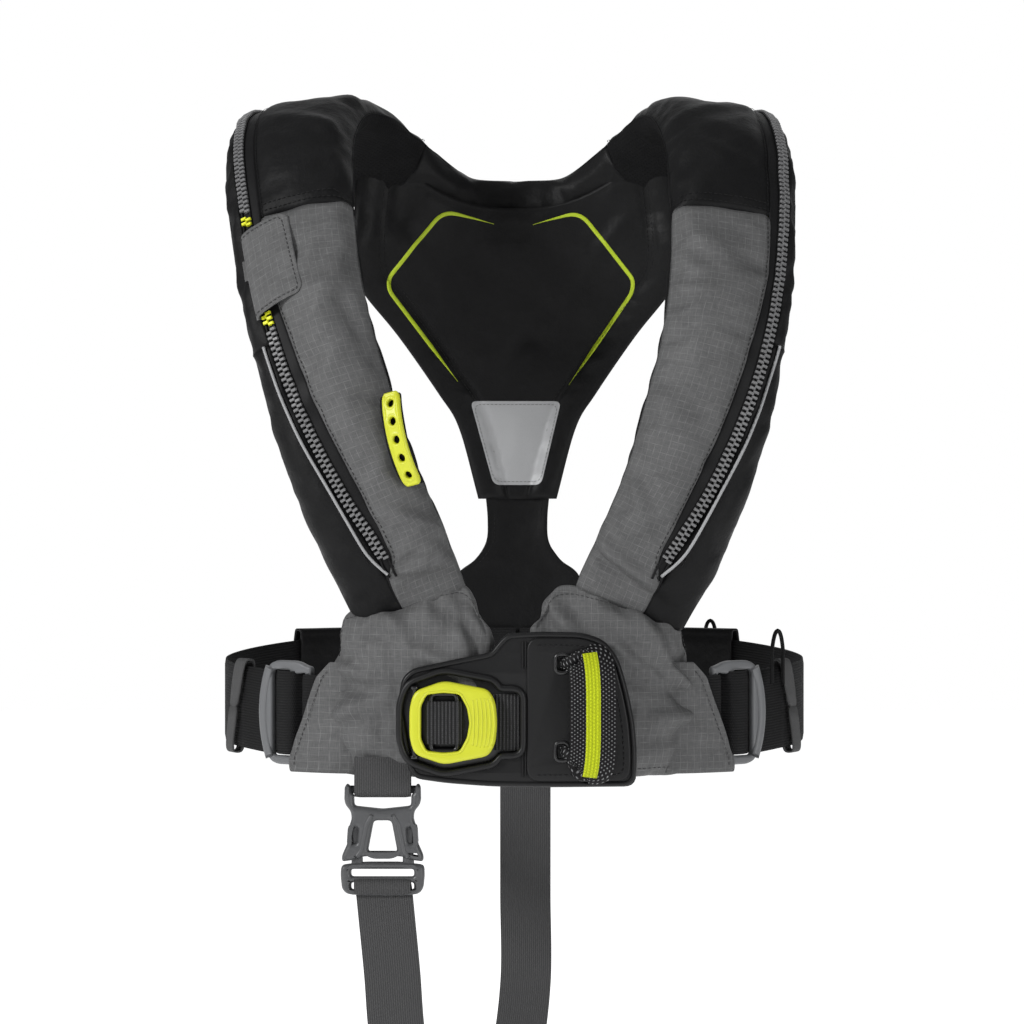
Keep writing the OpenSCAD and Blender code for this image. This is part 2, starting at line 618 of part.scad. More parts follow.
HANDLE_R = 55;          // radius of the handle's bow
HANDLE_SWEEP = 62;      // degrees
HANDLE_W = 11.5;
HANDLE_T = 3;
HANDLE_AT = [65.5, -146.4, -189];
module at_handle() {
    translate(HANDLE_AT) rotate([0, 14, 0]) rotate([0, 0, 22]) children();
}
module pull_handle() {
    color("yellow") on_side("right") at_handle() rotate([0, 0, -90]) rotate([90, 0, 0])
        translate([-HANDLE_R, 0, 0]) difference() {
            rotate([0, 0, -HANDLE_SWEEP / 2]) rotate_extrude(angle = HANDLE_SWEEP, $fn = 96)
                translate([HANDLE_R - HANDLE_T, -HANDLE_W / 2]) square([HANDLE_T, HANDLE_W]);
            for (k = [-2:2]) rotate([0, 0, k * 11.6]) rotate([0, 90, 0])
                cylinder(r = 2, h = 2 * HANDLE_R);
        }
}

INFLATOR_AT = 2.5;
// Puts its children in the lobe's own frame: X across, Y outward, Z along.
module in_lobe(s, shift = [0, 0, 0]) {
    f = lobe_frame(s);
    multmatrix([[f[1][0], f[2][0], f[3][0], f[0][0]], [f[1][1], f[2][1], f[3][1], f[0][1]],
                [f[1][2], f[2][2], f[3][2], f[0][2]], [0, 0, 0, 1]])
        translate(shift) children();
}
NECK_TOP = 34.2;
PIVOT_Z = 50;
LEVER_LEN = 23;
module in_inflator() {
    on_side("right") in_lobe(INFLATOR_AT, [2, 0, 0]) children();
}
module gas_cylinder() {
    top = 20;
    color("silver") in_inflator() {
        translate([0, 0, top - gas_len]) cylinder(r = gas_r, h = gas_len - 6);
        translate([0, 0, top - gas_len]) rotate([180, 0, 0]) cylinder(r1 = gas_r, r2 = gas_r - 4, h = 4);
        translate([0, 0, top - 6]) cylinder(r1 = gas_r, r2 = 5.4, h = 8);
        translate([0, 0, top]) cylinder(r = 5.4, h = NECK_TOP - top);
    }
}
module inflator_body() {
    color([0.1, 0.1, 0.1]) in_inflator() difference() {
        translate([-13, -11, 25]) cube([26, 22, 31]);
        translate([0, 0, 24]) cylinder(r = 5.5, h = 12);
        translate([0, 0, 30]) cylinder(r = 1.5, h = 20);
        translate([-14, -2.4, 41]) cube([21, 4.8, 16.2]);
        translate([0, 0, PIVOT_Z]) rotate([90, 0, 0]) cylinder(r = 1.56, h = 40, center = true);
    }
}
module inflator_cap() {
    color([0.7, 0.1, 0.1]) in_inflator() translate([13.02, 0, 40]) rotate([0, 90, 0]) cylinder(r = 9, h = 7);
}
module inflator_lever() {
    color("yellow") in_inflator() translate([0, 0, PIVOT_Z]) rotate([90, 0, 0]) translate([0, 0, -2])
        difference() {
            union() {
                cylinder(r = 4.8, h = 4);
                translate([-2.5, 0, 0]) cube([5, LEVER_LEN, 4]);
                translate([-8.2, -1.6, 0]) cube([8, 3.2, 4]);
            }
            translate([0, 0, -1]) cylinder(r = 1.56, h = 6);
        }
}
module lever_pin() {
    color("silver") in_inflator() translate([0, 0, PIVOT_Z]) rotate([90, 0, 0])
        cylinder(r = 1.5, h = 22, center = true);
}
module piercing_pin() {
    color("silver") in_inflator() translate([0, 0, 39.2]) cylinder(r = 1.4, h = 6);
}
// Inside the cover, from the lever to the seam behind the handle.
PULL_CORD = [[119, -114.5, -127], [108, -117, -132], [97, -117, -140], [88, -116, -150]];
module pull_cord() {
    n = len(PULL_CORD) - 1;
    color([0.1, 0.1, 0.1]) on_side("right") skin([for (s = [0:0.5:n]) let (
        t = unit(spline_at(PULL_CORD, s + 0.05) - spline_at(PULL_CORD, s - 0.05)),
        u = unit(cross(t, [0, 1, 0])), v = cross(t, u))
        [for (j = [0:7]) spline_at(PULL_CORD, s) + (u * cos(j * 45) + v * sin(j * 45)) * 1.2]]);
}

// The folded bladder: one horseshoe, lower on the left than on the right, where the gas is.
BLADDER_LEFT = 3.4;
BLADDER_RIGHT = 4.6;
module bladder() {
    function loop(s, right) = let (f = lobe_frame(s, right), p = 2 / SECTION_POWER)
        [for (k = [0:13]) let (a = (k + 0.5) * 360 / 14)
            f[0] - f[1] * (f[4] - 6.5) * sign_pow(cos(a), p) + f[2] * (f[5] - 5.5) * sign_pow(sin(a), p)];
    left = [for (s = stations(BLADDER_LEFT, LOBE_END)) loop(s, false)];
    right = [for (s = stations(BLADDER_RIGHT, LOBE_END)) [for (p = loop(s, true)) mirrored(p)]];
    color("yellow") skin(concat(right, [for (i = [len(left) - 2:-1:0]) left[i]]));
}
module oral_tube() {
    color("yellow") in_lobe(2, [-16, 0, 0]) difference() {
        translate([0, 0, -34]) cylinder(r = 5.5, h = 72);
        translate([0, 0, -35]) cylinder(r = 3.5, h = 80);
    }
}
module oral_tube_cap() {
    color([0.1, 0.1, 0.1]) in_lobe(2, [-16, 0, 0]) difference() {
        translate([0, 0, -38]) cylinder(r = 7.5, h = 14);
        translate([0, 0, -34.2]) cylinder(r = 5.56, h = 20);
    }
}
module whistle() {
    color("orange") in_lobe(2, [16, 0, 0]) difference() {
        translate([0, 0, -20]) cylinder(r = 7, h = 44);
        translate([0, 0, -16]) cylinder(r = 5.5, h = 50);
        translate([-2, -12, 4]) cube([4, 12, 5]);
    }
}

// ---- Crotch strap ----

CROTCH_X = -75;
CROTCH_Y = -113;
SOCKET_TOP = -393;
BUCKLE_W = 42;
BUCKLE_D = 11;
// The short webbing that the socket hangs from: a flat loop under the right waist panel.
module crotch_hanger() {
    wide = strap_w;
    color([0.2, 0.2, 0.2]) translate([CROTCH_X - wide / 2, CROTCH_Y, 0]) difference() {
        translate([0, -4.6, SOCKET_TOP - 7.4]) cube([wide, 9.2, 12.2]);
        translate([-1, -4.6 + strap_t, SOCKET_TOP - 7.4 + strap_t]) cube([wide + 2, 9.2 - 2 * strap_t, 30]);
    }
}
// The fixed half of the side-release buckle.
module crotch_buckle_socket() {
    color([0.2, 0.2, 0.2]) translate([CROTCH_X, CROTCH_Y, SOCKET_TOP]) {
        rotate([0, 90, 0]) cylinder(r = 2.3, h = BUCKLE_W - 2, center = true);
        for (end = [-1, 1]) translate([end * (BUCKLE_W / 2 - 1.6) - 1.6, -BUCKLE_D / 2 + 2, -14])
            cube([3.2, BUCKLE_D - 4, 16.4]);
        difference() {
            translate([-BUCKLE_W / 2, -BUCKLE_D / 2, -42]) cube([BUCKLE_W, BUCKLE_D, 28.4]);
            rotate([90, 0, 0]) linear_extrude(20, center = true)
                polygon([[-5, -21], [5, -21], [9, -43], [-9, -43]]);
            for (end = [-1, 1]) translate([end * 15 - 4.4, -3.2, -43]) cube([8.8, 6.4, 25]);
        }
    }
}
// The half that pulls out: two prongs, and a ladder that the strap is laced through.
PLUG_TOP = SOCKET_TOP - 19;
PLUG_BASE = SOCKET_TOP - 42.6;
module crotch_buckle_plug() {
    color([0.22, 0.22, 0.22]) translate([CROTCH_X, CROTCH_Y, 0]) {
        for (end = [-1, 1]) translate([end * 15 - 3.6, -2.4, PLUG_BASE - 2])
            cube([7.2, 4.8, PLUG_TOP - PLUG_BASE + 2]);
        difference() {
            translate([-BUCKLE_W / 2 - 0.6, -BUCKLE_D / 2, PLUG_BASE - 19])
                cube([BUCKLE_W + 1.2, BUCKLE_D, 19]);
            translate([-strap_w / 2 - 0.8, -10, PLUG_BASE - 8.6]) cube([strap_w + 1.6, 20, 5.8]);
            translate([-strap_w / 2 - 0.8, -10, PLUG_BASE - 16.4]) cube([strap_w + 1.6, 20, 5.6]);
        }
    }
}
// The strap's line, from the belt at the back, down under the wearer and up to the plug.
CROTCH_LINE = [
    [5, 112, -364], [5, 112, -420], [5, 112, -480], [5, 109, -540], [-4, 90, -594],
    [-18, 48, -628], [-33, 0, -640], [-47, -48, -628], [-59, -88, -592], [-66.5, -109, -540],
    [-69.5, -114, -500], [-71.5, -114.5, -460]
];
module crotch_strap() {
    n = len(CROTCH_LINE) - 1;
    function ring(s) = let (t = unit(spline_at(CROTCH_LINE, s + 0.05) - spline_at(CROTCH_LINE, s - 0.05)),
                            u = unit([1, 0, 0] - t * t[0]), v = cross(t, u), p = spline_at(CROTCH_LINE, s))
        [p - u * strap_w / 2 - v * strap_t / 2, p + u * strap_w / 2 - v * strap_t / 2,
         p + u * strap_w / 2 + v * strap_t / 2, p - u * strap_w / 2 + v * strap_t / 2];
    color([0.2, 0.2, 0.2]) skin([for (s = [0:0.5:n]) ring(s)]);
}

// ---- The parts ----

for (side = SIDES) on_side(side) {
    front_panel();
    shoulder_panel();
    side_panel(SIDE_SEAM, COLLAR_SEAM);
    side_panel(0, SIDE_SEAM);
    liner();
    waist_panel();
    belt();
    adjuster();
}
collar_panel();
neck_liner();
zip_tapes();
zip_chains();
zip_break_teeth();
zip_slider();
zip_flap();
piping();
back_yoke();
yoke_badge();
reflective_patch();
back_strap();
waist_webbing();
adjuster_folds();
belt_keepers();
belt_loops();
cord_loops();
chest_plate();
buckle_bezel();
buckle_base();
buckle_post();
buckle_frame();
buckle_bars();
buckle_webbing_fold();
buckle_webbing_tail();
harness_loop();
harness_stripe();
harness_eyelets();
pull_handle();
pull_cord();
inflator_body();
inflator_cap();
inflator_lever();
lever_pin();
piercing_pin();
gas_cylinder();
bladder();
oral_tube();
oral_tube_cap();
whistle();
crotch_hanger();
crotch_buckle_socket();
crotch_buckle_plug();
crotch_strap();
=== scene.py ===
"""Looks of an inflatable life jacket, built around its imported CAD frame. Lengths in the tables are millimetres."""
import math

import bmesh
import bpy
import numpy as np
from mathutils import Matrix, Vector
from mathutils.bvhtree import BVHTree


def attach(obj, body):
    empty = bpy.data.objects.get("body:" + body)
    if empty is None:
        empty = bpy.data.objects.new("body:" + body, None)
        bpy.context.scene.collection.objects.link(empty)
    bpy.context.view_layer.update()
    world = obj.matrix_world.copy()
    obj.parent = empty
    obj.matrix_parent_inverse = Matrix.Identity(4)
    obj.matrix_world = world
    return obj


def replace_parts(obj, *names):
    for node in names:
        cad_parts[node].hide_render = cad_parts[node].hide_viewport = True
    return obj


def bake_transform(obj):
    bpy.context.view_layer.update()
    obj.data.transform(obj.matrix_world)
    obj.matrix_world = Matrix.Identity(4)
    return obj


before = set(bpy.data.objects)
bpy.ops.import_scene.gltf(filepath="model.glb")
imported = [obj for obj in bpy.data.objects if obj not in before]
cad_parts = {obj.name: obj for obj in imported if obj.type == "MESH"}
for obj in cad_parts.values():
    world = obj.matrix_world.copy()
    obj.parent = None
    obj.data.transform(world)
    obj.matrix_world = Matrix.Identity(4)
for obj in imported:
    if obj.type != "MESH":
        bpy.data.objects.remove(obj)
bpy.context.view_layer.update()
MM = 0.001
X, UP, FRONT = np.array([1.0, 0, 0]), np.array([0, 0, 1.0]), np.array([0, -1.0, 0])
SIDES = (("left", False), ("right", True))

# ---------------------------------------------------------------- the lobe, as the CAD draws it
LOBE = np.array([
    [74, -108, -277, 72, 26, 0.22, -1, 0],
    [87, -112, -252, 75, 34, 0.24, -1, 0],
    [102, -114, -216, 76, 38, 0.28, -1, 0],
    [114, -112, -176, 77, 38, 0.30, -1, 0.05],
    [124, -106, -134, 76, 36, 0.32, -1, 0.15],
    [130, -94, -92, 77, 33, 0.34, -1, 0.30],
    [132, -74, -48, 79, 30, 0.28, -0.9, 0.55],
    [130, -44, -10, 80, 27, 0.16, -0.55, 0.85],
    [122, -6, 9, 80, 26, 0.08, 0, 1],
    [106, 34, 5, 72, 26, 0.08, 0.45, 0.85],
    [78, 66, -17, 62, 26, 0.05, 0.85, 0.50],
    [40, 86, -39, 54, 26, 0, 1, 0.22],
    [0, 92, -42, 52, 26, 0, 1, 0.20],
], float)
RIGHT_LOBE = LOBE.copy()
RIGHT_LOBE[:, 0] += [-12, -14, -13, -11, -8.5, -4.5, 0, 5, 7, 2, 0, 0, 0]
RIGHT_SEAM = np.array([0.05, 0.05, 0.06, 0.06, 0.06, 0.06, 0.035, 0.01, 0, 0, 0, 0, 0])[:, None]
SEAMS = np.array([
    [0.50, 0.56, 0.64], [0.47, 0.54, 0.65], [0.49, 0.62, 0.70], [0.575, 0.71, 0.81],
    [0.65, 0.78, 0.88], [0.725, 0.82, 0.90], [0.735, 0.85, 0.92], [0.76, 0.875, 0.94],
    [0.78, 0.89, 0.95], [0.78, 0.89, 0.95], [0.78, 0.89, 0.95], [0.78, 0.89, 0.95],
    [0.78, 0.89, 0.95],
])
POWER = 2 / 2.6
TAPE_OUT = 0.055
FIRST = -0.375                   # station where the lobes start, inside the waist panels
LAST = 12.0
SPACING = 0.125                  # stations between rows of the cover
SIDE_SEAM, SHOULDER_SEAM, COLLAR_SEAM = 4.125, 5.75, 10.0


def unit(v):
    return v / np.maximum(np.linalg.norm(v, axis=-1, keepdims=True), 1e-12)


def spline(rows, s):
    """Catmull-Rom through the rows, with natural ends."""
    rows = np.asarray(rows, float)
    last = len(rows) - 1
    i = int(max(0, min(math.floor(s), last - 1)))
    t = s - i
    b, c = rows[i], rows[i + 1]
    a = rows[i - 1] if i > 0 else 2 * b - c
    d = rows[i + 2] if i + 2 <= last else 2 * c - b
    return 0.5 * (2 * b + (c - a) * t + (2 * a - 5 * b + 4 * c - d) * t**2 + (3 * b - a - 3 * c + d) * t**3)


def spow(v, p):
    return np.sign(v) * np.abs(v) ** p


def lobe_frame(s, right):
    rows = RIGHT_LOBE if right else LOBE
    row = spline(rows, s)
    along = unit(spline(rows, s + 0.02)[:3] - spline(rows, s - 0.02)[:3])
    across = unit(np.cross(along, unit(row[5:8])))
    thick = row[4] / 2
    if s < 0.5:
        thick = 6 + (thick - 6) * max(0.0, (s - FIRST) / (0.5 - FIRST)) ** 0.7
    return row[:3], across, np.cross(across, along), along, row[3] / 2, thick


def share_angle(f):
    return math.degrees(math.acos(spow(1 - 2 * f, 1.3)))


def seam(s, which, extra=0.0, right=False):
    f = spline(SEAMS, s)[which] + extra - (spline(RIGHT_SEAM, s)[0] if right else 0)
    if which == 0:
        f += 0.105 * min(1.0, max(0.0, (1.0 - s) / 0.5)) ** 2      # the front panel closes over the zip's end
    return share_angle(min(0.985, f))


def skin_points(s, right, angles, off=0.0):
    c, across, out, _, w, t = lobe_frame(s, right)
    a = np.radians(np.asarray(angles, float))
    p = c + (-(w + off) * spow(np.cos(a), POWER))[:, None] * across + ((t + off) * spow(np.sin(a), POWER))[:, None] * out
    if right:
        p[:, 0] *= -1
    return p


def skin_point(s, right, angle, off=0.0):
    return skin_points(s, right, [angle], off)[0]


def run_length(points):
    """Distance along a polyline, at each of its points."""
    return np.r_[0, np.cumsum(np.linalg.norm(np.diff(points, axis=0), axis=1))]


def at_length(q, lengths, values):
    """The columns of values, read at distance q along a run."""
    return np.array([np.interp(q, lengths, column) for column in values.T])


def even(points, n):
    """n+1 points evenly along a polyline."""
    points = np.asarray(points, float)
    d = run_length(points)
    return at_length(np.linspace(0, d[-1], n + 1), d, points).T


def splined(rows, n):
    """n points through the rows, evenly by row."""
    rows = np.asarray(rows, float)
    return np.array([spline(rows, s) for s in np.linspace(0, len(rows) - 1, n)])


def mirrored(p, right):
    """Flips the sign of X for the wearer's right side."""
    p = np.array(p, float)
    if right:
        p[..., 0] *= -1
    return p


def wobble(x, seed=0):
    """Smooth repeatable noise of about unit size."""
    r = np.random.default_rng(seed)
    total = 0
    for k in range(5):
        total = total + (0.62**k) * np.sin(x * (1.0 + 0.83 * k) + r.uniform(0, 6.28))
    return total / 1.6


# ---------------------------------------------------------------- meshes
def mesh_object(name, verts, faces, uvs=None, material=None, smooth=True):
    """verts in millimetres; uvs per vertex, in decimetres of cloth."""
    me = bpy.data.meshes.new(name)
    me.from_pydata([tuple(v * MM) for v in np.asarray(verts, float)], [], [tuple(int(i) for i in f) for f in faces])
    me.update()
    if uvs is not None:
        layer = me.uv_layers.new(name="cloth")
        idx = np.empty(len(me.loops), int)
        me.loops.foreach_get("vertex_index", idx)
        layer.data.foreach_set("uv", np.asarray(uvs, float)[idx].reshape(-1))
    if smooth:
        me.polygons.foreach_set("use_smooth", [True] * len(me.polygons))
    ob = bpy.data.objects.new(name, me)
    bpy.context.scene.collection.objects.link(ob)
    if material:
        me.materials.append(material)
    return ob


def grid_faces(m, n, ring=False, flip=False, start=0):
    faces = []
    for i in range(m - 1):
        for j in range(n if ring else n - 1):
            k = (j + 1) % n
            f = (start + i * n + j, start + i * n + k, start + (i + 1) * n + k, start + (i + 1) * n + j)
            faces.append(f[::-1] if flip else f)
    return faces


def end_caps(m, n):
    """Faces that close a tube of m rings of n points."""
    return [tuple(range(n)), tuple(reversed(range((m - 1) * n, m * n)))]


def fan_caps(m, n):
    """Faces that close it round a point at each end, which are points m * n and m * n + 1."""
    first = [(m * n, (k + 1) % n, k) for k in range(n)]
    last = [(m * n + 1, (m - 1) * n + k, (m - 1) * n + (k + 1) % n) for k in range(n)]
    return first + last


def capped(g):
    """The points of a closed tube with fan caps."""
    return np.concatenate([g.reshape(-1, 3), [g[0].mean(0)], [g[-1].mean(0)]])


def grid_normals(g, ring=False):
    if ring:
        du = np.roll(g, -1, 1) - np.roll(g, 1, 1)
    else:
        du = np.gradient(g, axis=1)
    dv = np.gradient(g, axis=0)
    return unit(np.cross(du, dv))


def grid_uv(g):
    u = np.cumsum(np.linalg.norm(np.diff(g, axis=1, prepend=g[:, :1]), axis=2), 1)
    mid = g[:, g.shape[1] // 2]
    v = run_length(mid)
    u = u - u.mean(1, keepdims=True)
    return np.stack([u, np.repeat(v[:, None], g.shape[1], 1)], 2).reshape(-1, 2) / 100


def modifier(ob, kind, **values):
    m = ob.modifiers.new(kind.title(), kind)
    for k, v in values.items():
        setattr(m, k, v)
    return m


def bake_down(ob):
    """Applies every modifier."""
    dg = bpy.context.evaluated_depsgraph_get()
    me = bpy.data.meshes.new_from_object(ob.evaluated_get(dg), depsgraph=dg)
    old = ob.data
    ob.modifiers.clear()
    ob.data = me
    bpy.data.meshes.remove(old)
    return ob


def sheet_piece(name, g, material, thick, outward, levels=1, ring=False):
    """A panel of cloth over grid g: subdivided, then thickened inward. outward is a rough outside direction
    at its middle."""
    n = grid_normals(g, ring)
    mid = n[n.shape[0] // 2, n.shape[1] // 2]
    flip = float(np.dot(mid, outward)) < 0
    ob = mesh_object(name, g.reshape(-1, 3), grid_faces(g.shape[0], g.shape[1], ring, flip), grid_uv(g), material)
    if levels:
        modifier(ob, "SUBSURF", levels=levels, render_levels=levels)
    if thick:
        modifier(ob, "SOLIDIFY", thickness=thick * MM, offset=-1.0, use_even_offset=False)
    return ob


def add(piece, body, nodes=()):
    if body:
        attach(piece, body)
    if nodes:
        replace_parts(piece, *nodes)
    return piece


def joined(name, parts):
    """Merges objects into one."""
    bpy.ops.object.select_all(action="DESELECT")
    for p in parts:
        p.select_set(True)
    bpy.context.view_layer.objects.active = parts[0]
    bpy.ops.object.join()
    parts[0].name = name
    return parts[0]


def flat_piece(name, outer, holes, thick, bevel, matrix, material, res=2):
    """A plate cut from outlines in X and Y (millimetres), thick along Z about z = 0, with rounded edges."""
    cu = bpy.data.curves.new(name, "CURVE")
    cu.dimensions = "2D"
    cu.fill_mode = "BOTH"
    for line in [outer] + list(holes):
        sp = cu.splines.new("POLY")
        sp.points.add(len(line) - 1)
        for k, (x, y) in enumerate(line):
            sp.points[k].co = (x * MM, y * MM, 0, 1)
        sp.use_cyclic_u = True
    cu.extrude = (thick / 2 - bevel) * MM
    cu.bevel_depth = bevel * MM
    cu.bevel_resolution = res
    cu.offset = -bevel * MM
    tmp = bpy.data.objects.new(name, cu)
    bpy.context.scene.collection.objects.link(tmp)
    dg = bpy.context.evaluated_depsgraph_get()
    me = bpy.data.meshes.new_from_object(tmp.evaluated_get(dg), depsgraph=dg)
    bpy.data.objects.remove(tmp)
    bpy.data.curves.remove(cu)
    bm = bmesh.new()
    bm.from_mesh(me)
    bmesh.ops.remove_doubles(bm, verts=bm.verts, dist=1e-6)
    bmesh.ops.recalc_face_normals(bm, faces=bm.faces)
    bm.to_mesh(me)
    bm.free()
    me.transform(matrix)
    ob = bpy.data.objects.new(name, me)
    bpy.context.scene.collection.objects.link(ob)
    me.materials.clear()
    me.materials.append(material)
    me.polygons.foreach_set("use_smooth", [True] * len(me.polygons))
    me.set_sharp_from_angle(angle=math.radians(38))
    return ob


def box_outline(x0, z0, x1, z1):
    return [(x0, z0), (x1, z0), (x1, z1), (x0, z1)]


def ring_path(outline, y, n):
    """n points round a closed outline in X and Z, at depth y."""
    outline = [np.array(p, float) for p in outline]
    return [np.array([p[0], y, p[1]]) for p in even(np.array(outline + outline[:1]), n)[:-1]]


def rounded(points, radius, steps=5):
    """Corners of a closed outline, rounded."""
    pts = [np.array(p, float) for p in points]
    out = []
    for i, p in enumerate(pts):
        a, b = pts[i - 1], pts[(i + 1) % len(pts)]
        la, lb = np.linalg.norm(a - p), np.linalg.norm(b - p)
        r = min(radius, la * 0.45, lb * 0.45)
        p0, p1 = p + (a - p) / la * r, p + (b - p) / lb * r
        for k in range(steps + 1):
            t = k / steps
            out.append((1 - t) ** 2 * p0 + 2 * t * (1 - t) * p + t * t * p1)
    return out


def place(x=(1, 0, 0), y=(0, 1, 0), z=(0, 0, 1), at=(0, 0, 0)):
    """A matrix from three axes and a point in millimetres."""
    m = Matrix.Identity(4)
    for c, v in enumerate((x, y, z)):
        for r in range(3):
            m[r][c] = v[r]
    for r in range(3):
        m[r][3] = at[r] * MM
    return m


def facing(y, x=0.0, z=0.0):
    """Outline X and Z seen from the front, thickness along Y."""
    return place((1, 0, 0), (0, 0, 1), (0, -1, 0), (x, y, z))


def tube_piece(name, path, radius, material, sides=10, closed=False, flat=1.0, up=(0, 0, 1)):
    """A round or flattened cord along path (millimetres)."""
    p = np.asarray(path, float)
    t = unit(np.roll(p, -1, 0) - np.roll(p, 1, 0)) if closed else unit(np.gradient(p, axis=0))
    u = unit(np.cross(t, np.asarray(up, float)))
    v = np.cross(t, u)
    a = np.linspace(0, 2 * math.pi, sides, endpoint=False)
    ring = np.cos(a)[None, :, None] * u[:, None] + flat * np.sin(a)[None, :, None] * v[:, None]
    g = p[:, None] + radius * ring
    m, n = g.shape[:2]
    if closed:
        g = np.concatenate([g, g[:1]])
        m += 1
    faces = grid_faces(m, n, ring=True) + ([] if closed else end_caps(m, n))
    around = np.repeat((np.arange(n) * radius * 0.8)[None], m, 0)
    uv = np.stack([around, np.repeat(run_length(g[:, 0])[:, None], n, 1)], 2)
    return mesh_object(name, g.reshape(-1, 3), faces, uv.reshape(-1, 2) / 100, material)


def ribbon(name, line, side, width, thick, material, cols=10, closed=False, crown=0.0, edge=0.45):
    """A flat webbing along a line, its width as near to side as it can lie. width is one number, or one per
    point. The solid is closed and has soft edges."""
    c = np.asarray(line, float)
    t = unit(np.roll(c, -1, 0) - np.roll(c, 1, 0)) if closed else unit(np.gradient(c, axis=0))
    sd = unit(side - t * (t @ side)[:, None])
    nm = np.cross(sd, t)
    f = np.linspace(-1, 1, cols + 1)
    half = thick / 2 * np.where(np.abs(f) > 0.99, edge, 1.0)
    bow = crown * (1 - f**2)
    across = np.broadcast_to(width, len(c))[:, None] * f / 2
    middle = c[:, None] + sd[:, None] * across[..., None]
    top = middle + nm[:, None] * (bow + half)[None, :, None]
    bottom = middle + nm[:, None] * (bow - half)[None, :, None]
    loop = np.concatenate([top, bottom[:, ::-1]], 1)
    m, n = loop.shape[:2]
    uv = np.stack([np.concatenate([across, across[:, ::-1]], 1), np.repeat(run_length(c)[:, None], n, 1)], 2)
    faces = grid_faces(m, n, ring=True) + end_caps(m, n)
    ob = mesh_object(name, loop.reshape(-1, 3), faces, uv.reshape(-1, 2) / 100, material)
    ob.data.set_sharp_from_angle(angle=math.radians(50))
    return ob


def outward_faces(ob):
    bm = bmesh.new()
    bm.from_mesh(ob.data)
    bmesh.ops.recalc_face_normals(bm, faces=bm.faces)
    bm.to_mesh(ob.data)
    bm.free()
    return ob


def stitches(name, path, normal, material, pitch=3.2, length=2.2, r=0.28, lift=0.1):
    """A line of stitches on a path; normal is one vector or one per point."""
    p = np.asarray(path, float)
    nrm = np.broadcast_to(np.asarray(normal, float), p.shape)
    d = run_length(p)
    count = int(d[-1] / pitch)
    verts, faces = [], []
    for k in range(count):
        q = (k + 0.5) * d[-1] / count
        at, nx = at_length(q, d, p), unit(at_length(q, d, nrm))
        t = unit(at_length(q + 0.5, d, p) - at_length(q - 0.5, d, p))
        b = np.cross(t, nx)
        base = len(verts)
        for x, w in ((-0.5, 0.35), (-0.3, 1), (0.3, 1), (0.5, 0.35)):
            for a in range(6):
                an = a * math.pi / 3
                verts.append(at + t * x * length + (b * math.cos(an) + nx * math.sin(an)) * r * w + nx * lift)
        faces += grid_faces(4, 6, ring=True, start=base)
        faces += [tuple(base + k for k in cap) for cap in end_caps(4, 6)]
    return outward_faces(mesh_object(name, verts, faces, np.zeros((len(verts), 2)), material))


# ---------------------------------------------------------------- materials
def rgba(color):
    """A colour triple with its alpha; a socket passes through."""
    return (*color, 1) if isinstance(color, tuple) else color


class Nodes:
    """A material's node tree, built around its Principled shader. Scales are in decimetres of cloth."""
    def __init__(self, name):
        self.mat = bpy.data.materials.new(name)
        self.mat.use_nodes = True
        self.nt = self.mat.node_tree
        self.bsdf = self.nt.nodes["Principled BSDF"]

    def new(self, kind, ins=None, **props):
        n = self.nt.nodes.new("ShaderNode" + kind)
        for k, v in props.items():
            setattr(n, k, v)
        for k, v in (ins or {}).items():
            self.put(n.inputs[k], v)
        return n

    def put(self, socket, v):
        if isinstance(v, bpy.types.NodeSocket):
            self.nt.links.new(v, socket)
        else:
            socket.default_value = v

    def math(self, op, a, b=None, c=None, clamp=False):
        n = self.new("Math", operation=op, use_clamp=clamp)
        for k, v in enumerate((a, b, c)):
            if v is not None:
                self.put(n.inputs[k], v)
        return n.outputs[0]

    def times(self, a, b):
        return self.math("MULTIPLY", a, b)

    def plus(self, a, b, clamp=False):
        return self.math("ADD", a, b, clamp=clamp)

    def fit(self, a, scale, shift, clamp=False):
        return self.math("MULTIPLY_ADD", a, scale, shift, clamp)

    def mix(self, f, a, b):
        n = self.new("Mix", data_type="RGBA")
        self.put(n.inputs["Factor"], f)
        self.put(n.inputs[6], rgba(a))
        self.put(n.inputs[7], rgba(b))
        return n.outputs[2]

    def cloth(self):
        uv = self.new("UVMap", uv_map="cloth").outputs[0]
        sep = self.new("SeparateXYZ", {0: uv})
        return uv, sep.outputs[0], sep.outputs[1]

    def noise(self, vector, scale, detail=2.0, rough=0.5, stretch=None):
        if stretch:
            vector = self.new("Mapping", {"Vector": vector, "Scale": stretch}).outputs[0]
        return self.new("TexNoise", {"Vector": vector, "Scale": scale, "Detail": detail, "Roughness": rough}).outputs[0]

    def stripe(self, x, pitch, width):
        """1 on thin lines every pitch (decimetres), 0 between."""
        f = self.math("PINGPONG", x, pitch / 2)
        return self.math("SUBTRACT", 1.0, self.math("SMOOTH_MAX", 0.0, self.math("DIVIDE", f, width), 0.2), clamp=True)

    def wave(self, x, pitch):
        """A sine of that pitch, from 0 to 1."""
        s = self.math("SINE", self.times(x, 2 * math.pi / pitch))
        return self.fit(s, 0.5, 0.5)

    def bump(self, height, strength, distance, normal=None):
        n = self.new("Bump", {"Height": height, "Strength": strength, "Distance": distance})
        if normal is not None:
            self.put(n.inputs["Normal"], normal)
        return n.outputs[0]

    def done(self, color, rough, normal=None, **sockets):
        self.put(self.bsdf.inputs["Base Color"], rgba(color))
        self.put(self.bsdf.inputs["Roughness"], rough)
        if normal is not None:
            self.put(self.bsdf.inputs["Normal"], normal)
        for k, v in sockets.items():
            self.put(self.bsdf.inputs[k.replace("_", " ")], v)
        return self.mat


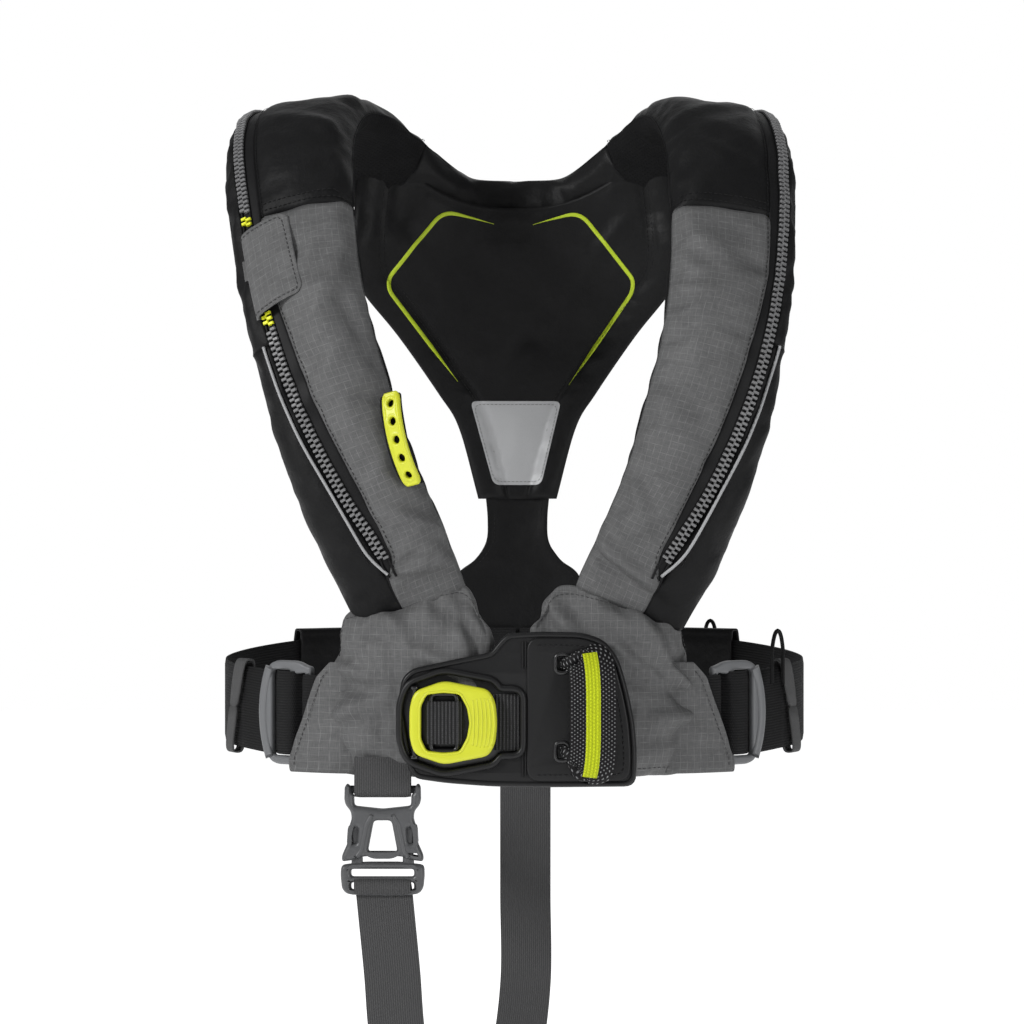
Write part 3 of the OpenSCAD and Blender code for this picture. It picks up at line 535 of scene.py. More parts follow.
def ripstop(name, dark, light, line, pitch=0.042):
    """Heathered grey cloth with a fine grid of thicker threads."""
    n = Nodes(name)
    uv, u, v = n.cloth()
    across = n.noise(uv, 60, 3, 0.6, (0.3, 6, 1))
    along = n.noise(uv, 60, 3, 0.6, (6, 0.3, 1))
    heather = n.plus(n.times(across, 0.5), n.times(along, 0.5))
    cloud = n.noise(uv, 4, 3, 0.5)
    tone = n.plus(n.fit(heather, 3.4, -1.3), n.fit(cloud, 0.6, -0.25), clamp=True)
    base = n.mix(tone, dark, light)
    wander = n.fit(n.noise(uv, 6, 1), 0.003, -0.0015)
    gu = n.times(n.stripe(n.plus(u, wander), pitch, 0.0021), n.fit(along, 3.8, -1.35, clamp=True))
    gv = n.times(n.stripe(n.plus(v, wander), pitch, 0.0021), n.fit(across, 3.8, -1.35, clamp=True))
    grid = n.math("MAXIMUM", gu, gv)
    col = n.mix(n.times(grid, 0.5), base, line)
    weave = n.times(n.wave(u, 0.0075), n.wave(v, 0.0075))
    height = n.plus(n.times(weave, 0.5), n.times(grid, 0.6))
    fine = n.bump(height, 0.3, 0.0002)
    small = n.bump(n.noise(uv, 26, 3, 0.5), 0.25, 0.0006, fine)
    slant = n.new("Mapping", {"Vector": uv, "Rotation": (0, 0, 0.6), "Scale": (0.8, 2.0, 1)}).outputs[0]
    bent = n.new("TexNoise", {"Vector": slant, "Scale": 1.25, "Detail": 1.4, "Roughness": 0.4, "Distortion": 0.9}).outputs[0]
    folds = n.bump(bent, 0.75, 0.012, small)
    crumple = n.bump(n.noise(uv, 7, 3, 0.45, (1, 1.6, 1)), 0.5, 0.0022, folds)
    rough = n.fit(heather, 0.2, 0.5)
    return n.done(col, rough, crumple, Sheen_Weight=0.02, Sheen_Roughness=0.35, Specular_IOR_Level=0.2)


def plain_cloth(name, dark, light, sheen=0.0, pitch=0.009, crumple=0.55, rough=0.5):
    n = Nodes(name)
    uv, u, v = n.cloth()
    cloud = n.noise(uv, 5, 4, 0.55)
    thread = n.noise(uv, 80, 2, 0.5, (1, 4, 1))
    tone = n.plus(n.times(cloud, 0.6), n.times(thread, 0.6), clamp=True)
    col = n.mix(n.fit(tone, 1.6, -0.5, clamp=True), dark, light)
    twill = n.wave(n.plus(u, v), pitch)
    fine = n.bump(n.plus(n.times(twill, 0.6), n.times(thread, 0.5)), 0.3, 0.00025)
    big = n.bump(n.noise(uv, 8, 4, 0.55), crumple, 0.002, fine)
    return n.done(col, n.fit(thread, 0.15, rough - 0.07), big, Sheen_Weight=sheen, Sheen_Roughness=0.35, Specular_IOR_Level=0.1)


def mesh_cloth(name, dark, light):
    """Spacer mesh: small round holes in a knitted face, painted near black inside as shade."""
    n = Nodes(name)
    uv, u, v = n.cloth()
    cells = n.new("TexVoronoi", {"Vector": uv, "Scale": 42.0, "Randomness": 0.15}).outputs[0]
    hole = n.math("SUBTRACT", 1.0, n.times(cells, 2.6), clamp=True)
    tone = n.fit(n.noise(uv, 6, 3), 0.8, 0.0, clamp=True)
    base = n.mix(tone, dark, light)
    # the holes are painted near black: painted shade inside each hole
    col = n.mix(n.times(hole, 0.7), base, (0.003, 0.003, 0.003))
    fine = n.bump(n.math("SUBTRACT", 1.0, hole), 0.5, 0.0006)
    return n.done(col, 0.85, n.bump(n.noise(uv, 9, 3), 0.35, 0.0012, fine), Sheen_Weight=0.0, Sheen_Roughness=0.5, Specular_IOR_Level=0.06)


def webbing(name, dark, light, rib=0.022, cross=0.011, depth=0.0005, sheen=0.015, rough=0.7):
    """Woven strap: raised warp ribs along it, crossed by picks; its colour is painted darker in the grooves between
    them as shade.
    """
    n = Nodes(name)
    uv, u, v = n.cloth()
    ribs = n.wave(u, rib)
    row = n.times(n.math("FRACT", n.math("DIVIDE", u, rib * 2)), 2.0)
    step = n.times(n.math("FLOOR", row), cross / 2)
    picks = n.wave(n.plus(v, step), cross)
    height = n.times(n.math("POWER", ribs, 0.6), n.fit(picks, 0.65, 0.35))
    fuzz = n.noise(uv, 90, 2, 0.6)
    # colour follows the weave's height: painted shade in the grooves, lighter on the raised ribs
    tone = n.plus(n.times(height, 0.8), n.fit(fuzz, 0.6, -0.25), clamp=True)
    col = n.mix(tone, dark, light)
    fine = n.bump(n.plus(height, n.times(fuzz, 0.15)), 0.6, depth)
    return n.done(col, n.fit(fuzz, 0.2, rough - 0.1), fine, Sheen_Weight=sheen, Sheen_Roughness=0.4, Specular_IOR_Level=0.12)


def coarse_weave(name, dark, light):
    """Heavy black tape whose raised weave knots, in staggered rows, are painted pale as highlights."""
    n = Nodes(name)
    uv, u, v = n.cloth()
    column = n.math("DIVIDE", u, 0.0165)
    odd = n.math("FLOOR", n.times(n.math("FRACT", n.times(column, 0.5)), 2.0))
    row = n.plus(n.math("DIVIDE", v, 0.0225), n.times(odd, 0.5))
    x = n.math("ABSOLUTE", n.math("SUBTRACT", n.math("FRACT", column), 0.5))
    y = n.math("ABSOLUTE", n.math("SUBTRACT", n.math("FRACT", row), 0.5))
    weave_knot = n.math("SUBTRACT", 1.0, n.plus(n.times(n.math("POWER", x, 2.0), 7.0), n.times(n.math("POWER", y, 2.0), 16.0)), clamp=True)
    fuzz = n.noise(uv, 90, 2, 0.6)
    # pale colour on each raised knot of the weave: a painted highlight
    knot_highlight = n.times(n.math("POWER", weave_knot, 1.5), n.fit(fuzz, 1.6, -0.2, clamp=True))
    fine = n.bump(n.plus(weave_knot, n.times(fuzz, 0.2)), 0.8, 0.0009)
    return n.done(n.mix(knot_highlight, dark, light), 0.6, fine, Specular_IOR_Level=0.12)


def ribbed(name, dark, light):
    """Narrow webbing with raised ribs across its run, painted darker in the grooves between them as shade."""
    n = Nodes(name)
    uv, u, v = n.cloth()
    rib = n.wave(v, 0.021)
    pick = n.wave(u, 0.012)
    height = n.times(n.math("POWER", rib, 1.5), n.fit(pick, 0.4, 0.6))
    fuzz = n.noise(uv, 90, 2, 0.6)
    # colour follows the rib height: painted shade in the grooves between the ribs
    tone = n.times(height, n.fit(fuzz, 1.2, 0.1, clamp=True))
    return n.done(n.mix(tone, dark, light), 0.55, n.bump(height, 0.7, 0.0008), Specular_IOR_Level=0.15)


def plastic(name, color, light, rough=0.38, grain=0.25, scale=900, coat=0.0, edge_highlight=0.35, gloss=0.35):
    """Moulded plastic: fine spark-eroded grain, slightly paler on its sharp edges as a painted highlight."""
    n = Nodes(name)
    at = n.new("TexCoord").outputs["Object"]
    spark = n.noise(at, scale, 2, 0.6)
    cloud = n.noise(at, 25, 3, 0.5)
    edge = n.new("NewGeometry").outputs["Pointiness"]
    # sharp convex edges are painted paler: a painted edge highlight
    edge_highlight_mask = n.times(n.fit(edge, 9.0, -4.7, clamp=True), edge_highlight)
    base = n.mix(n.times(cloud, 0.5), color, light)
    col = n.mix(edge_highlight_mask, base, tuple(min(1.0, c * 1.5 + 0.02) for c in light))
    scuff = n.noise(at, 120, 4, 0.7, (1, 0.25, 1))
    r = n.plus(n.times(scuff, 0.18), rough - 0.09)
    fine = n.bump(spark, grain, 0.00012)
    return n.done(col, r, fine, Coat_Weight=coat, Coat_Roughness=0.2, Specular_IOR_Level=gloss)


def metal(name, color, rough=0.28):
    n = Nodes(name)
    at = n.new("TexCoord").outputs["Object"]
    brush = n.noise(at, 300, 3, 0.6, (1, 1, 0.05))
    col = n.mix(brush, tuple(c * 0.75 for c in color), color)
    return n.done(col, n.fit(brush, 0.2, rough - 0.1), n.bump(brush, 0.15, 0.0001), Metallic=1.0)


def reflective(name, color, rough=0.35):
    """Glass-bead film: fine sparkle on a flat silver."""
    n = Nodes(name)
    at = n.new("TexCoord").outputs["Object"]
    bead = n.new("TexVoronoi", {"Vector": at, "Scale": 1500.0}).outputs[0]
    cloud = n.noise(at, 30, 3)
    col = n.mix(n.fit(cloud, 0.5, 0.2), tuple(c * 0.86 for c in color), color)
    return n.done(col, n.fit(bead, 0.2, rough), n.bump(bead, 0.2, 0.0001), Metallic=0.35)


GREY = ripstop("grey_ripstop", (0.047, 0.0472, 0.0478), (0.088, 0.0882, 0.0886), (0.20, 0.20, 0.201))
BLACK = plain_cloth("black_cloth", (0.003, 0.003, 0.0032), (0.0066, 0.0066, 0.0069))
SMOOTH = plain_cloth("black_smooth_cloth", (0.0042, 0.0042, 0.0044), (0.008, 0.008, 0.0083), crumple=0.4, rough=0.42)
LINER = mesh_cloth("black_mesh", (0.0045, 0.0045, 0.0047), (0.0095, 0.0095, 0.01))
TAPE = plain_cloth("zip_tape", (0.004, 0.004, 0.0042), (0.0085, 0.0085, 0.009), crumple=0.05, pitch=0.012)
BELT = webbing("belt_webbing", (0.002, 0.002, 0.0022), (0.010, 0.010, 0.0105), rib=0.016, cross=0.009)
LOOPW = coarse_weave("tether_webbing", (0.003, 0.003, 0.0032), (0.30, 0.30, 0.305))
STRAP = webbing("grey_webbing", (0.026, 0.026, 0.0265), (0.072, 0.072, 0.073), rib=0.013, cross=0.008, rough=0.75)
LACED = ribbed("laced_webbing", (0.003, 0.003, 0.0032), (0.055, 0.055, 0.057))
ELASTIC = webbing("grey_elastic", (0.042, 0.042, 0.0425), (0.066, 0.066, 0.067), rib=0.01, cross=0.012)
LIME = webbing("lime_stripe", (0.22, 0.26, 0.004), (0.46, 0.53, 0.012), rib=0.02, cross=0.02, depth=0.0008)
PRINT = plastic("lime_print", (0.30, 0.39, 0.008), (0.35, 0.44, 0.012), rough=0.5, grain=0.1, edge_highlight=0.0)
YELLOW = plastic("yellow_plastic", (0.40, 0.42, 0.016), (0.46, 0.48, 0.022), rough=0.4, grain=0.2, edge_highlight=0.1)
DARK = plastic("black_plastic", (0.004, 0.004, 0.0043), (0.0075, 0.0075, 0.008), rough=0.3, grain=0.3, scale=500, gloss=0.4)
RUBBER = plastic("chest_plate_rubber", (0.0055, 0.0055, 0.0058), (0.0085, 0.0085, 0.0088), rough=0.42, grain=0.5, scale=420, edge_highlight=0.08, gloss=0.2)
FRAME = plastic("grey_plastic", (0.085, 0.087, 0.091), (0.112, 0.115, 0.12), rough=0.42, grain=0.35, edge_highlight=0.3)
BUCKLE = plastic("dark_grey_plastic", (0.046, 0.047, 0.049), (0.064, 0.065, 0.068), rough=0.4, grain=0.35, edge_highlight=0.3)
TEETH = plastic("zip_teeth_grey", (0.075, 0.075, 0.077), (0.12, 0.12, 0.122), rough=0.45, grain=0.2, edge_highlight=0.4)
TEETH_Y = plastic("zip_teeth_yellow", (0.48, 0.50, 0.01), (0.58, 0.60, 0.02), rough=0.4, grain=0.2, edge_highlight=0.2)
RED = plastic("red_plastic", (0.42, 0.02, 0.015), (0.5, 0.03, 0.02))
ORANGE = plastic("orange_plastic", (0.8, 0.22, 0.01), (0.9, 0.28, 0.02))
STEEL = metal("steel", (0.58, 0.58, 0.6))
SILVER = reflective("silver_piping", (0.25, 0.252, 0.257), rough=0.5)
PATCH = reflective("reflective_film", (0.30, 0.303, 0.308), rough=0.45)
THREAD = plastic("black_thread", (0.006, 0.006, 0.0063), (0.012, 0.012, 0.0125), rough=0.6, edge_highlight=0, gloss=0.15)
GREY_THREAD = plastic("grey_thread", (0.028, 0.028, 0.0285), (0.04, 0.04, 0.041), rough=0.6, edge_highlight=0, gloss=0.15)
BLADDER = plain_cloth("bladder_cloth", (0.62, 0.52, 0.01), (0.72, 0.62, 0.02))



def sew(name, path, normal=None, thread=THREAD, pitch=3.0, length=2.1, r=0.28, lift=0.1, body="jacket"):
    """A row of stitches that rides on a body. With no normal, path holds pairs of point and normal."""
    if normal is None:
        path, normal = zip(*path)
    return add(stitches(name, path, normal, thread, pitch, length, r, lift), body)


# ---------------------------------------------------------------- camera first
cam_data = bpy.data.cameras.new("camera")
cam_data.lens = 115.1
cam_data.sensor_width = 36.0
cam = bpy.data.objects.new("camera", cam_data)
cam.location = (0.038, -2.03, -0.2306)
cam.rotation_euler = (math.pi / 2, 0, 0)
cam_data.shift_x = -0.0623
bpy.context.scene.collection.objects.link(cam)
bpy.context.scene.camera = cam

# ---------------------------------------------------------------- the cover: one cloth tube, then its panels
N_FRONT, N_TAPE, N_SIDE, N_LINER = 12, 4, 6, 14
C_TAPE, C_SIDE, C_LINER = N_FRONT, N_FRONT + N_TAPE, N_FRONT + N_TAPE + N_SIDE
COLS = C_LINER + N_LINER
HALF = int(round((LAST - FIRST) / SPACING)) + 1
ROWS = 2 * HALF - 1


def cover_row(s, right):
    parts = []
    bounds = [0.01, seam(s, 0, 0, right), seam(s, 1, TAPE_OUT, right), 180, 359.99]
    for (a, b), n in zip(zip(bounds, bounds[1:]), (N_FRONT, N_TAPE, N_SIDE, N_LINER)):
        parts.append(even(skin_points(s, right, np.linspace(a, b, 90)), n)[:-1])
    return np.concatenate(parts)


def cover_grid():
    ss = [FIRST + k * SPACING for k in range(HALF)]
    left = [cover_row(s, False) for s in ss]
    right = [cover_row(s, True) for s in reversed(ss[:-1])]
    return np.array(left + right)


def row_at(s, right=False):
    r = (s - FIRST) / SPACING
    return int(round(ROWS - 1 - r if right else r))


def inflate(g, pinned, pressure, slack, frames, cap, stiff=12.0):
    """Runs Blender's cloth on the closed tube g, with pinned (0 to 1 per point) holding the seams, and
    returns the grid that it settles to."""
    m, n = g.shape[:2]
    ob = outward_faces(mesh_object("cloth_sim", capped(g), grid_faces(m, n, ring=True) + fan_caps(m, n)))
    group = ob.vertex_groups.new(name="pin")
    weights = np.r_[pinned.reshape(-1), 1, 1]
    for level in np.unique(weights):
        if level > 0:
            group.add([int(i) for i in np.nonzero(weights == level)[0]], float(level), "REPLACE")
    mod = ob.modifiers.new("Cloth", "CLOTH")
    st = mod.settings
    st.quality = 6
    st.mass = 0.15
    st.tension_stiffness = st.compression_stiffness = stiff
    st.shear_stiffness = stiff * 0.4
    st.bending_stiffness = 0.25
    st.air_damping = 2.0
    st.use_pressure = True
    st.uniform_pressure_force = pressure
    st.vertex_group_mass = "pin"
    st.shrink_min = -slack
    st.effector_weights.gravity = 0
    mod.collision_settings.use_collision = False
    scene = bpy.context.scene
    scene.frame_start, scene.frame_end = 1, frames
    mod.point_cache.frame_start, mod.point_cache.frame_end = 1, frames
    for f in range(1, frames + 1):
        scene.frame_set(f)
    dg = bpy.context.evaluated_depsgraph_get()
    me = ob.evaluated_get(dg).data
    co = np.empty(len(me.vertices) * 3)
    me.vertices.foreach_get("co", co)
    out = co.reshape(-1, 3)[: m * n].reshape(m, n, 3) / MM
    bpy.data.objects.remove(ob)
    scene.frame_set(1)
    move = out - g
    size = np.linalg.norm(move, axis=2, keepdims=True)
    return g + move * np.minimum(1, cap / np.maximum(size, 1e-6))


def creases(g, normals, strokes, keep=1.0):
    """Presses or lifts folds into grid g. A stroke is row, column (of the grid), how it runs in rows and
    columns, its length, width and height in millimetres."""
    out = g.copy()
    for r, c, dr, dc, length, width, height in strokes:
        centre = g[int(r), int(c) % g.shape[1]]
        r2 = int(min(g.shape[0] - 1, max(0, r + dr)))
        to = g[r2, int(c + dc) % g.shape[1]]
        run = unit(to - centre)
        d = g - centre
        x = d @ run
        nrm = normals[int(r), int(c) % g.shape[1]]
        side = np.cross(nrm, run)
        y = d @ side + 0.12 * width * np.sin(x / (0.35 * length))
        depth = d @ nrm
        q = y / width
        shape = (1.0 - 1.6 * q * q) * np.exp(-q * q)
        fade = np.exp(-((x / (0.5 * length)) ** 2)) * np.exp(-((depth / 22) ** 2))
        out += normals * (height * shape * fade * keep)[..., None]
    return out


COVER = cover_grid()
pins = np.zeros((ROWS, COLS))
pins[:, [0, C_TAPE, C_SIDE, C_LINER]] = 1
pins[:, C_TAPE + 1:C_SIDE] = 1
pins[:, C_LINER + 4:COLS - 3] = 0.35
pins[:6] = 1
pins[-6:] = 1
for right in (False, True):
    pins[row_at(SHOULDER_SEAM, right), :C_TAPE] = 0.9
    pins[row_at(COLLAR_SEAM, right), :C_TAPE] = 0.9
    pins[row_at(SIDE_SEAM, right), C_SIDE:C_LINER] = 0.9
V = inflate(COVER, pins, 3.0, 0.03, 14, 4.0)


def pucker(g, normals):
    """Gathers along the sewn seams, and shallow waves over the open cloth."""
    out = g.copy()
    step = np.linalg.norm(np.diff(g[:, 6], axis=0, prepend=g[:1, 6]), axis=1)
    along = np.cumsum(step)
    around = np.cumsum(np.linalg.norm(np.diff(g, axis=1, prepend=g[:, :1]), axis=2), 1)
    for k, (col, size, reach) in enumerate(((0, 0.3, 9), (C_TAPE, 0.45, 8), (C_SIDE, 0.6, 9), (C_LINER, 0.3, 11))):
        d = np.abs(around - around[:, col:col + 1])
        if col == 0:
            d = np.minimum(d, np.abs(around - (around[:, -1:] + 4)))
        wave = wobble(along / 3.1, 10 + k)[:, None]
        gate = 0.5 + 0.5 * wobble(along / 26, 20 + k)[:, None]
        near = np.exp(-((d / reach) ** 2)) * (1 - np.exp(-((d / 1.5) ** 2)))
        out += normals * (size * wave * np.clip(gate, 0.1, 1) * near)[..., None]
    slow = wobble(along[:, None] / 17 + wobble(around / 21, 31), 32) * 0.7
    slow += wobble(along[:, None] / 9 - around / 14, 33) * 0.35
    mask = np.ones(g.shape[1])
    mask[:3] = [0, 0.3, 0.7]
    mask[C_TAPE:C_SIDE + 1] = 0
    mask[C_LINER - 2:C_LINER + 1] = [0.5, 0.2, 0]
    mask[C_LINER + 1:] = 0.25
    return out + normals * (slow * mask)[..., None]


def outward_normals(g):
    n = grid_normals(g, ring=True)
    centre = g.mean(1, keepdims=True)
    return n if np.mean(np.sum(n * (g - centre), 2)) > 0 else -n


NV = outward_normals(V)


def stroke(s, f, right, ds, df, length, width, height):
    """A fold at station s, at share f of the front panel's width, running ds stations and df shares."""
    sign = -1 if right else 1
    return (row_at(s, right), f * N_FRONT, sign * ds * 8, df * N_FRONT, length, width, height)


FOLDS = [
    stroke(4.25, 0.30, False, 0.6, 0.7, 50, 5.5, 3.7), stroke(3.80, 0.60, False, 0.4, 0.8, 46, 5.0, -3.4),
    stroke(3.35, 0.15, False, 0.5, 0.5, 34, 4.5, 3.0), stroke(5.1, 0.55, False, -0.5, 0.8, 44, 6, 3.0),
    stroke(5.5, 0.40, False, 0.5, 0.8, 36, 5, -2.8), stroke(4.7, 0.80, False, -0.4, -0.6, 34, 5, 2.6),
    stroke(1.75, 0.25, False, -0.35, 0.6, 50, 5.5, 3.9), stroke(1.45, 0.7, False, -0.5, 0.5, 44, 5, -3.7),
    stroke(0.65, 0.4, False, -0.2, 0.9, 60, 5.5, 4.2), stroke(0.25, 0.45, False, -0.1, 0.9, 58, 5, -3.4),
    stroke(2.6, 0.4, False, 0.3, 0.7, 42, 6, 2.1), stroke(2.2, 0.75, False, 0.4, 0.6, 40, 5, -2.1),
    stroke(4.6, 0.45, True, 0.9, -0.6, 56, 8, 3.4), stroke(4.1, 0.25, True, 0.8, 0.3, 44, 6, -2.6),
    stroke(3.6, 0.7, True, 0.4, -0.7, 44, 6, 2.6), stroke(3.0, 0.5, True, 0.3, 0.9, 44, 6, 2.3),
    stroke(1.3, 0.55, True, 0.5, 0.7, 52, 6, 3.7), stroke(0.9, 0.25, True, 0.5, 0.6, 46, 5, -3.4),
    stroke(0.45, 0.6, True, 0.3, 0.9, 54, 5, 3.4), stroke(5.5, 0.75, True, 0.7, -0.6, 48, 7, 2.6),
    stroke(7.0, 0.4, True, 0.5, 0.9, 60, 8, 2.6), stroke(7.5, 0.6, False, 0.4, 0.9, 60, 8, 2.3),
    stroke(6.6, 0.3, True, 0.5, 0.9, 50, 5, -2.1), stroke(6.7, 0.6, False, 0.3, -0.9, 50, 5, -1.8),
    stroke(8.3, 0.3, True, 0.3, 0.8, 50, 7, 2.1), stroke(1.1, 1.75, True, 0.1, 0.5, 34, 4, 2.8),
    stroke(1.0, 1.75, False, 0.1, 0.5, 34, 4, 2.8), stroke(0.6, 1.7, True, 0.1, 0.5, 34, 4, -2.6),
    stroke(0.6, 1.7, False, 0.1, 0.5, 34, 4, -2.6),
]
share = np.arange(COLS) / N_FRONT
keep = np.where(share < 1, np.clip(share / 0.22, 0.1, 1), 1.0)                  # folds die away at the neck-side seam
keep[C_SIDE:C_LINER + 1] = np.linspace(1, 0.15, N_SIDE + 1)
keep[C_LINER:] = 0.12
V = creases(V, NV, FOLDS, keep[None])
V = pucker(V, NV)


def surface(s, angle, right, off=0.0):
    """A point on the finished cover: station s, angle round the section."""
    bounds = [0.0, seam(s, 0, 0, right), seam(s, 1, TAPE_OUT, right), 180, 360]
    cols = [0, C_TAPE, C_SIDE, C_LINER, COLS]
    k = next(i for i in range(4) if angle <= bounds[i + 1] or i == 3)
    dense = skin_points(s, right, np.linspace(max(bounds[k], 0.01), bounds[k + 1] - 0.01, 60))
    d = np.r_[0, np.cumsum(np.linalg.norm(np.diff(dense, axis=0), axis=1))]
    t = np.interp(angle, np.linspace(bounds[k], bounds[k + 1], 60), d) / d[-1]
    c = cols[k] + t * (cols[k + 1] - cols[k])
    r = (s - FIRST) / SPACING
    r = ROWS - 1 - r if right else r
    i, j = int(min(ROWS - 2, max(0, math.floor(r)))), int(math.floor(c))
    fr, fc = r - i, c - j

    def pick(a):
        j0, j1 = j % COLS, (j + 1) % COLS
        low = a[i, j0] * (1 - fc) + a[i, j1] * fc
        return low * (1 - fr) + (a[i + 1, j0] * (1 - fc) + a[i + 1, j1] * fc) * fr
    nrm = unit(pick(NV))
    return pick(V) + nrm * off, nrm


SEAM_OVERLAP, SEAM_SINK = 0.3, 0.6     # how far a panel's edge passes its seam, and is pressed in, so no gap shows


def panel(name, rows, cols, material, node, fill=None, thick=1.3, slot="black_fabric", drop=0.0):
    """Cuts a panel out of the cover, with its edges sewn down. Its fill is not used."""
    r = np.arange(rows[0], rows[1] + 1)
    c = np.arange(cols[0], cols[1] + 1) % COLS
    g = V[np.ix_(r, c)].copy()
    n = NV[np.ix_(r, c)]
    for edge, inner in ((0, 1), (-1, -2)):
        g[:, edge] += unit(g[:, edge] - g[:, inner]) * SEAM_OVERLAP - n[:, edge] * SEAM_SINK
        g[edge] += unit(g[edge] - g[inner]) * SEAM_OVERLAP - n[edge] * SEAM_SINK
    g -= n * drop
    ob = add(sheet_piece(name, g, material, thick, n[n.shape[0] // 2, n.shape[1] // 2]), "jacket", [node])


FRONT_COLS, SIDE_COLS, LINER_COLS = (0, C_TAPE), (C_SIDE, C_LINER), (C_LINER, COLS)
for side, right in SIDES:
    for part, ends, cols, material, node, fill, extra in (
            ("front_cloth", (FIRST, SHOULDER_SEAM), FRONT_COLS, GREY, "front_panel", 0.7, {"slot": "grey_ripstop"}),
            ("shoulder_cloth", (SHOULDER_SEAM, COLLAR_SEAM), FRONT_COLS, BLACK, "shoulder_panel", 0.6, {}),
            ("side_cloth_low", (FIRST, SIDE_SEAM), SIDE_COLS, BLACK, "side_panel_lower", 0.6, {}),
            ("side_cloth_high", (SIDE_SEAM, COLLAR_SEAM), SIDE_COLS, BLACK, "side_panel_upper", 0.6, {}),
            ("liner_cloth", (FIRST, COLLAR_SEAM), LINER_COLS, LINER, "liner", 0.5, {"thick": 2.4, "slot": "black_mesh"})):
        rows = sorted(row_at(s, right) for s in ends)
        panel(f"{side}_{part}", rows, cols, material, f"{side}_{node}", fill, **extra)
NECK = (row_at(COLLAR_SEAM), row_at(COLLAR_SEAM, True))
panel("collar_cloth", NECK, FRONT_COLS, BLACK, "collar_panel")
panel("collar_edge_cloth", NECK, SIDE_COLS, BLACK, "collar_panel")
panel("neck_liner_cloth", NECK, LINER_COLS, SMOOTH, "neck_liner", 0.5, 2.4, "black_mesh")
panel("zip_tape_cloth", (0, ROWS - 1), (C_TAPE, C_SIDE), TAPE, "zip_tapes", thick=0.8, drop=0.35)

# ---------------------------------------------------------------- zip
def chain_track(s0, s1, right, extra=0.0, step=0.02):
    pts, nrm = [], []
    for s in np.arange(s0, s1 + 1e-9, step):
        p, n = surface(s, seam(s, 1, extra, right), right)
        pts.append(p)
        nrm.append(n)
    return np.array(pts), np.array(nrm)


def walk(pts, nrm, pitch, shift=0.0):
    """Even stops along a track: point, direction and normal."""
    d = run_length(pts)
    for k in range(int((d[-1] - shift) / pitch)):
        q = shift + (k + 0.5) * pitch
        along = unit(at_length(q + 1.5, d, pts) - at_length(q - 1.5, d, pts))
        yield at_length(q, d, pts), along, unit(at_length(q, d, nrm))


TOOTH = (3.5, 1.75, 1.9)               # width, length and height
TOOTH_PITCH, TOOTH_ROW = 3.3, 1.5      # along the chain, and each column's distance from its middle
TOOTH_LEVELS = ((0.0, 1.0), (0.62, 1.0), (0.9, 0.9), (1.0, 0.72))
TOOTH_OUTLINE = ((-1, -1), (-0.72, -1.12), (0.72, -1.12), (1, -1), (1, 1), (0.72, 1.12), (-0.72, 1.12), (-1, 1))


def tooth(verts, faces, p, t, n):
    """A block that narrows towards its top."""
    b = np.cross(n, t)
    base = len(verts)
    w, l, h = TOOTH
    for z, k in TOOTH_LEVELS:
        for x, y in TOOTH_OUTLINE:
            verts.append(p + b * x * w / 2 * k + t * y * l / 2.24 * k + n * (0.1 + z * h))
    faces += grid_faces(4, 8, ring=True, start=base)
    faces.append(tuple(base + 24 + a for a in range(8)))


def teeth(name, s0, s1, right, material):
    pts, nrm = chain_track(s0, s1, right)
    verts, faces = [], []
    for column in (-1, 1):
        for p, t, n in walk(pts, nrm, TOOTH_PITCH, 0.0 if column < 0 else TOOTH_PITCH / 2):
            tooth(verts, faces, p + np.cross(n, t) * column * TOOTH_ROW, t, n)
    ob = mesh_object(name, verts, faces, np.zeros((len(verts), 2)), material, smooth=False)
    return add(outward_faces(ob), "jacket")


grey_teeth = [teeth("left_zip_teeth_0", 0.86, 12.0, False, TEETH)]
for k, (a, b) in enumerate(((0.86, 4.34), (4.6, 5.62), (5.84, 12.0))):
    grey_teeth.append(teeth(f"right_zip_teeth_{k}", a, b, True, TEETH))
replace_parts(grey_teeth[0], "zip_chains")
for k, (a, b) in enumerate(((4.34, 4.56), (5.66, 5.84))):
    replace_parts(teeth(f"break_teeth_{k}", a, b, True, TEETH_Y), "zip_break_teeth")
for side, right in SIDES:
    for k, extra in enumerate((-0.034, 0.034)):
        pts, nrm = chain_track(0.5, 11.98, right, extra, 0.04)
        cord = tube_piece(f"{side}_zip_cord_{k}", pts + nrm * 0.25, 0.75, TAPE, 6, up=(0.3, 0.2, 0.9))
        add(cord, "jacket")

# ---------------------------------------------------------------- silver piping
def relaxed(points, rounds):
    """A path with its small waves smoothed away."""
    p = np.array(points, float)
    for _ in range(rounds):
        p[1:-1] = (p[:-2] + 2 * p[1:-1] + p[2:]) / 4
    return p


for side, right in SIDES:
    pts = []
    for s in np.arange(0.6, 4.16, 0.04):
        w = min(1.0, max(0.0, (1.25 - s) / 0.6)) ** 2
        a = seam(s, 2, 0, right) * (1 - w) + seam(s, 1, TAPE_OUT - 0.03, right) * w
        pts.append(surface(s, a, right, 0.9)[0])
    pipe = tube_piece(f"{side}_piping", relaxed(pts, 30), 0.95, SILVER, 10)
    add(pipe, "jacket", ["piping"])
    run = [surface(s, seam(s, 2, 0.018, right), right, 0.1) for s in np.arange(0.9, 4.1, 0.05)]
    sew(f"{side}_piping_stitches", run, pitch=3.4, length=2.3)

